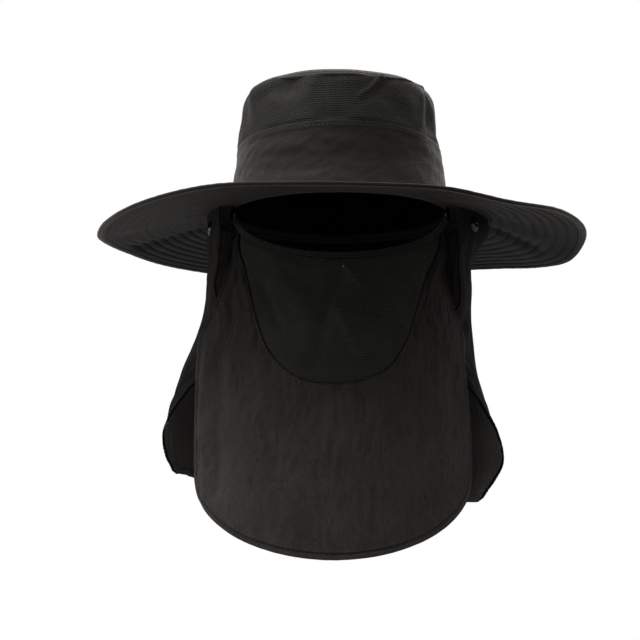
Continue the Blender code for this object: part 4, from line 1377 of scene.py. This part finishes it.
def make_neck_flap():
    """The neck flap: long folds that grow downward, creases, gathers at the top, edge waves.

    The long folds and creases are calmer within 30 mm of the front edges, and everything
    fades in below the top seam. Its stitch line follows the hem on both faces.
    """
    half_arc = neck_edges(180.0)[2]
    arcs = spaced(2 * half_arc / MM, 2.0, 8.0, 8.0) * MM
    angles = 360 - NECK_EDGE_ANGLE - arcs / (2 * half_arc) * (360 - 2 * NECK_EDGE_ANGLE)
    shares = spaced(NECK_LENGTH / MM, 1.75, 0, 8.0) * MM / NECK_LENGTH
    shares[0] = -1.1 * MM / NECK_LENGTH
    grid = neck_point(angles[None], shares[:, None])
    down, across = lengths(grid), lengths(grid.transpose(1, 0, 2)).T
    from_side = np.minimum(across, across[:, -1:] - across)
    from_edge = np.minimum(from_side, down[-1:] - down)
    along = across[len(across) // 2][None]
    free = smooth_step(down / (14 * MM))
    calm = 0.25 + 0.75 * smooth_step(from_side / (30 * MM))
    long_folds = soft_hills(along + 0.12 * down, down, 24 * MM, 150 * MM, 61)
    creases = creased(along - 0.08 * down, down, 9 * MM, 52 * MM, 62)
    small = creased(along, down, 5.0 * MM, 24 * MM, 63)
    gathers = soft_hills(along, down, 7 * MM, 60 * MM, 64) * np.exp(-down / (22 * MM))
    edge_waves = soft_hills(along + down, along - down, 9 * MM, 9 * MM, 65)
    edge_waves = edge_waves * np.exp(-from_edge / (6 * MM))
    rise = calm * (1.5 * long_folds * down / NECK_LENGTH + 0.55 * creases)
    rise = MM * free * (rise + 0.22 * small + 0.5 * gathers + 0.3 * edge_waves)
    rise = rise + folds(from_side, -down, NECK_CREASES) * smooth_step(down / (5 * MM))
    grid = raised(grid, rise)
    wall = hem_wall(from_edge, CLOTH, HEM, HEM_WIDTH, FLAP_STITCH)
    # The seam given here marks painted shade along the hem's stitch line.
    piece = cloth(
        "neck_flap_cloth", grid, wall, FLAP_CLOTH, "neck_flap", inside=FLAP_INSIDE,
        seam=0.2 * line_at(from_edge, FLAP_STITCH, 0.7 * MM),
    )
    inset = FLAP_STITCH / (HEM_STEP * MM)
    last_row, last_column = len(grid) - 1 - inset, grid.shape[1] - 1 - inset
    side, hem = np.linspace(6, last_row, 300), np.linspace(inset, last_column, 700)
    rows = np.concatenate([side, hem * 0 + last_row, side[::-1]])
    columns = np.concatenate([side * 0 + inset, hem, side * 0 + last_column])
    outer, inner, facing = faces_of(grid, wall)
    return piece, [
        stitch_line(outer, facing, rows, columns), stitch_line(inner, -facing, rows, columns)
    ]


def make_face_panel():
    """The face cover's panel: bent creases of two sizes, waves, gathers and the table's folds.

    Its grid runs from the insert's cut to the hem, with close rows at both. The creases are
    calm at the edges and at the side studs, and the edges wave by a quarter of a millimetre.
    Its stitch lines follow the hem on both faces, and the cut.
    """
    outline, cut = cover_outline(OUTLINE_POINTS)[::-1], INSERT_CUT[::-1].copy()
    cut[[0, -1], 1] = below_nose(cut[[0, -1], 0])
    span = np.linalg.norm(outline - cut, axis=1)
    reach = np.minimum(PANEL_EDGE, 0.45 * span)
    near = np.linspace(0, 1, PANEL_EDGE_ROWS + 1)[:, None]
    middle = np.linspace(0, 1, 56)[:, None]
    from_cut = np.concatenate(
        [near[:-1] * reach, reach + middle * (span - 2 * reach), span - (1 - near[1:]) * reach]
    )
    from_hem = span - from_cut
    blend = (from_cut / span)[..., None]
    x, z = np.moveaxis(cut * (1 - blend) + outline * blend, -1, 0)
    bend = 4 * MM * soft_hills(x, z, 30 * MM, 24 * MM, 70)
    creases = creased(x + bend, z, 7.5 * MM, 26 * MM, 71)
    small = creased(x + bend, z, 3.8 * MM, 12 * MM, 72)
    waves = soft_hills(x, z, 38 * MM, 90 * MM, 73)
    gathers = soft_hills(x, z * 0.4, 6.5 * MM, 30 * MM, 74) * np.exp(-from_cut / (14 * MM))
    inside = smooth_step(from_cut / (4 * MM)) * smooth_step(from_hem / (4 * MM))
    at_stud = line_at(z, -SIDE_STUD_DROP, 20 * MM) * line_at(from_hem, 0.0, 20 * MM)
    rise = MM * (0.5 * creases + 0.5 * small + 1.3 * waves + 0.9 * gathers)
    rise = (rise + folds(x, z, PANEL_FOLDS)) * inside * (1 - at_stud)
    edge_waves = soft_hills(x + z, x - z, 8 * MM, 8 * MM, 75)
    at_edges = np.exp(-from_hem / (6 * MM)) + np.exp(-from_cut / (4 * MM))
    grid = raised(cover_surface(x, z), rise + 0.25 * MM * edge_waves * at_edges)
    hem = hem_wall(from_hem, CLOTH, HEM, HEM_WIDTH, PANEL_STITCH)
    wall = np.maximum(hem, hem_wall(from_cut, CLOTH, 1.9 * MM, 3.4 * MM, CUT_STITCH))
    wall = wall - 0.3 * MM * line_at(from_hem, PANEL_STITCH, 0.75 * MM)
    # seam marks painted shade along the hem's stitch line and at the cut where the insert meets
    # the panel.
    seam = line_at(from_hem, PANEL_STITCH, 0.7 * MM) + 0.6 * line_at(from_cut, 0.0, 0.7 * MM)
    piece = cloth(
        "face_panel_cloth", grid, wall, COVER_CLOTH, "face_panel", uv=(x, -z), seam=seam
    )
    outer, inner, facing = faces_of(grid, wall)
    every = np.linspace(2, OUTLINE_POINTS - 3, 1000)
    hem_row = len(grid) - 1 - PANEL_STITCH / PANEL_EDGE * PANEL_EDGE_ROWS
    cut_row = CUT_STITCH / PANEL_EDGE * PANEL_EDGE_ROWS
    return piece, [
        stitch_line(outer, facing, hem_row, every),
        stitch_line(inner, -facing, hem_row, every),
        stitch_line(outer, facing, cut_row, every),
    ]


def make_mesh_insert():
    """The face cover's mesh insert: the table's folds and waves of two sizes.

    Its grid runs from under the nose binding down to its outline. It is calm near its edges,
    and drawn in behind the panel and the binding. Its stitch line is the tack at its dart.
    """
    edge = shifted(insert_outline(132), 2.4 * MM)[1:-1]
    right, left = INSERT_CUT[[0, -1], 0]
    top_x = np.linspace(right + GAP - NET_LAP, left - GAP + NET_LAP, len(edge))
    top = np.stack([top_x, below_nose(top_x) + NET_LAP], axis=-1)
    blend = np.linspace(0, 1, 74)[:, None, None]
    flat = (top * (1 - blend) + edge * blend)[:, ::-1]
    x, z = np.moveaxis(flat, -1, 0)
    from_cut = np.linalg.norm(flat - edge[::-1], axis=2)
    from_cut = np.minimum(from_cut, np.minimum(x - x[:, -1:], x[:, :1] - x))
    from_top = np.linalg.norm(flat - flat[:1], axis=2)
    inside = smooth_step((from_cut - 2 * MM) / (7 * MM))
    inside = inside * smooth_step((from_top - 1.5 * MM) / (8 * MM))
    waves = soft_hills(x + 0.5 * z, z, 21 * MM, 17 * MM, 81)
    small = soft_hills(x, z, 8 * MM, 12 * MM, 82)
    rise = (folds(x, z, INSERT_FOLDS) + MM * waves + 0.35 * MM * small) * inside
    rise = rise - 1.35 * MM * (1 - smooth_step((from_cut - 1.5 * MM) / (3 * MM)))
    rise = rise - 0.8 * MM * (1 - smooth_step(from_top / (3 * MM)))
    grid = raised(cover_surface(x, z), rise)
    piece = cloth("mesh_insert", grid, CLOTH, COVER_NET, "face_mesh", uv=(x, -z))
    outer, _, facing = faces_of(grid, CLOTH)
    away = np.hypot(grid[..., 0] - TACK[0], grid[..., 2] - TACK[1])
    row, column = np.unravel_index(np.argmin(away), away.shape)
    return piece, [stitch_line(outer, facing, np.linspace(row - 0.75, row + 0.75, 12), column)]


def make_nose_tape():
    """The binding along the face cover's upper edge."""
    nose = nose_edge(np.sin(np.linspace(-1, 1, 150) * np.pi / 2))
    low = cover_surface(nose[:, 0], nose[:, 1] - NOSE_BINDING_WIDTH)
    outward = unit(cover_surface(nose[:, 0], nose[:, 1]) - low)
    upward = unit(np.cross(outward, unit(np.gradient(low, axis=0))))
    return tape(
        "nose_tape", low, outward, upward, NOSE_BINDING_WIDTH, NOSE_BINDING_THICKNESS, 1.22 * MM,
        NOSE_TAPE, "nose_binding", False, 0.08,
    )


crown_tip = make_tip()
crown_mesh = make_mesh_ring()
crown_band, band_lines = make_band()
brim, top_lines, under_lines = make_brim()
brim_binding, rim_lines = make_brim_tape()
neck_flap, neck_lines = make_neck_flap()
face_panel, cover_lines = make_face_panel()
face_mesh, tack_lines = make_mesh_insert()
nose_binding, nose_lines = make_nose_tape()

top_stitches = sewn("brim_stitches_top", top_lines)
under_stitches = sewn("brim_stitches_under", under_lines)
band_stitches = sewn("band_stitches", band_lines)
neck_stitches = sewn("neck_flap_stitches", neck_lines)
cover_stitches = sewn("face_cover_stitches", cover_lines)
rim_stitches = sewn("brim_tape_stitches", rim_lines)
nose_stitches = sewn("nose_tape_stitches", nose_lines)
dart_tack = sewn("dart_tack", tack_lines, PALE_THREAD, 1.4 * MM, 1.3 * MM)


def on_sheet(surface, place, steps, lift):
    """A place lifted off a surface, and the way the surface faces there."""
    first, second = (np.array(value) for value in place)
    here = surface(first, second)
    along = surface(first + steps[0], second) - here
    lower = surface(first, second + steps[1]) - here
    facing = unit(np.cross(along, lower))
    return here + facing * lift, facing


stud("neck_stud_right", *on_sheet(neck_point, NECK_STUD_RIGHT, NECK_STEPS, NECK_STUD_LIFT_RIGHT))
stud("neck_stud_left", *on_sheet(neck_point, NECK_STUD_LEFT, NECK_STEPS, NECK_STUD_LIFT_LEFT))
for name, side in (("cover_stud_right", -1), ("cover_stud_left", 1)):
    x, z = nose_edge(float(side)) - (side * COVER_STUD_INSET, 0)
    lift = NOSE_BINDING_THICKNESS / 2 + GAP
    back, facing = on_sheet(cover_surface, (x, z), COVER_STEPS, lift)
    face = back + facing * STUD_THICKNESS
    z = brim_underside(face[0], face[1]) - GAP - STUD_RADIUS
    stud(name, *on_sheet(cover_surface, (x, z), COVER_STEPS, lift))
for name, x in (("side_stud_right", -SIDE_STUD_RIGHT), ("side_stud_left", SIDE_STUD_LEFT)):
    stud(name, *on_sheet(cover_surface, (x, -SIDE_STUD_DROP), COVER_STEPS, SIDE_STUD_LIFT))


def stage_plane(name, corners, colour):
    """A plain sheet of the studio, from its four corners."""
    mesh = bpy.data.meshes.new(name)
    mesh.from_pydata(corners, [], [(0, 1, 2, 3)])
    plain = bpy.data.materials.new(name)
    plain.use_nodes = True
    shader = plain.node_tree.nodes["Principled BSDF"]
    shader.inputs["Base Color"].default_value = (*colour, 1.0)
    shader.inputs["Roughness"].default_value = 0.9
    mesh.materials.append(plain)
    plane = bpy.data.objects.new(name, mesh)
    bpy.context.scene.collection.objects.link(plane)


floor = [(-1, -1), (1, -1), (1, 1), (-1, 1)]
floor = [(x * FLOOR_REACH, y * FLOOR_REACH, FLOOR) for x, y in floor]
stage_plane("floor", floor, (0.45, 0.45, 0.45))


def soft_light(name, place, size, power):
    """A large square light that faces the hat."""
    lamp = bpy.data.lights.new(name, "AREA")
    lamp.size = size
    lamp.energy = power
    light = bpy.data.objects.new(name, lamp)
    light.location = place
    light.rotation_mode = "QUATERNION"
    light.rotation_quaternion = (-Vector(place)).to_track_quat("-Z", "Y")
    bpy.context.scene.collection.objects.link(light)
    light.visible_camera = False


soft_light("key", (-1.3, -1.2, 1.7), 1.4, 57.0)
soft_light("fill", (1.6, -1.6, 0.3), 1.2, 11.0)
soft_light("top", (0.4, -0.2, 2.3), 1.6, 20.0)
soft_light("left", (-1.2, 0.1, 2.0), 1.0, 65.0)
soft_light("low", (-2.1, -0.8, -0.6), 1.2, 32.0)
soft_light("back", (0.8, 1.9, 1.3), 1.4, 18.0)

world = bpy.data.worlds.new("studio")
bpy.context.scene.world = world
world.use_nodes = True
world.node_tree.nodes["Background"].inputs["Color"].default_value = (1.0, 1.0, 1.0, 1.0)
world.node_tree.nodes["Background"].inputs["Strength"].default_value = 1.0
bpy.context.scene.view_settings.view_transform = "Standard"

lens = bpy.data.cameras.new("camera")
lens.lens = CAMERA_LENS
lens.sensor_width = 36.0
lens.clip_start = 0.01
camera = bpy.data.objects.new("camera", lens)
bpy.context.scene.collection.objects.link(camera)
target = Vector(CAMERA_TARGET)
tilt = np.radians(CAMERA_ELEVATION)
camera.location = target + CAMERA_DISTANCE * Vector((0.0, -np.cos(tilt), np.sin(tilt)))
camera.rotation_mode = "QUATERNION"
camera.rotation_quaternion = (target - camera.location).to_track_quat("-Z", "Y")
bpy.context.scene.camera = camera
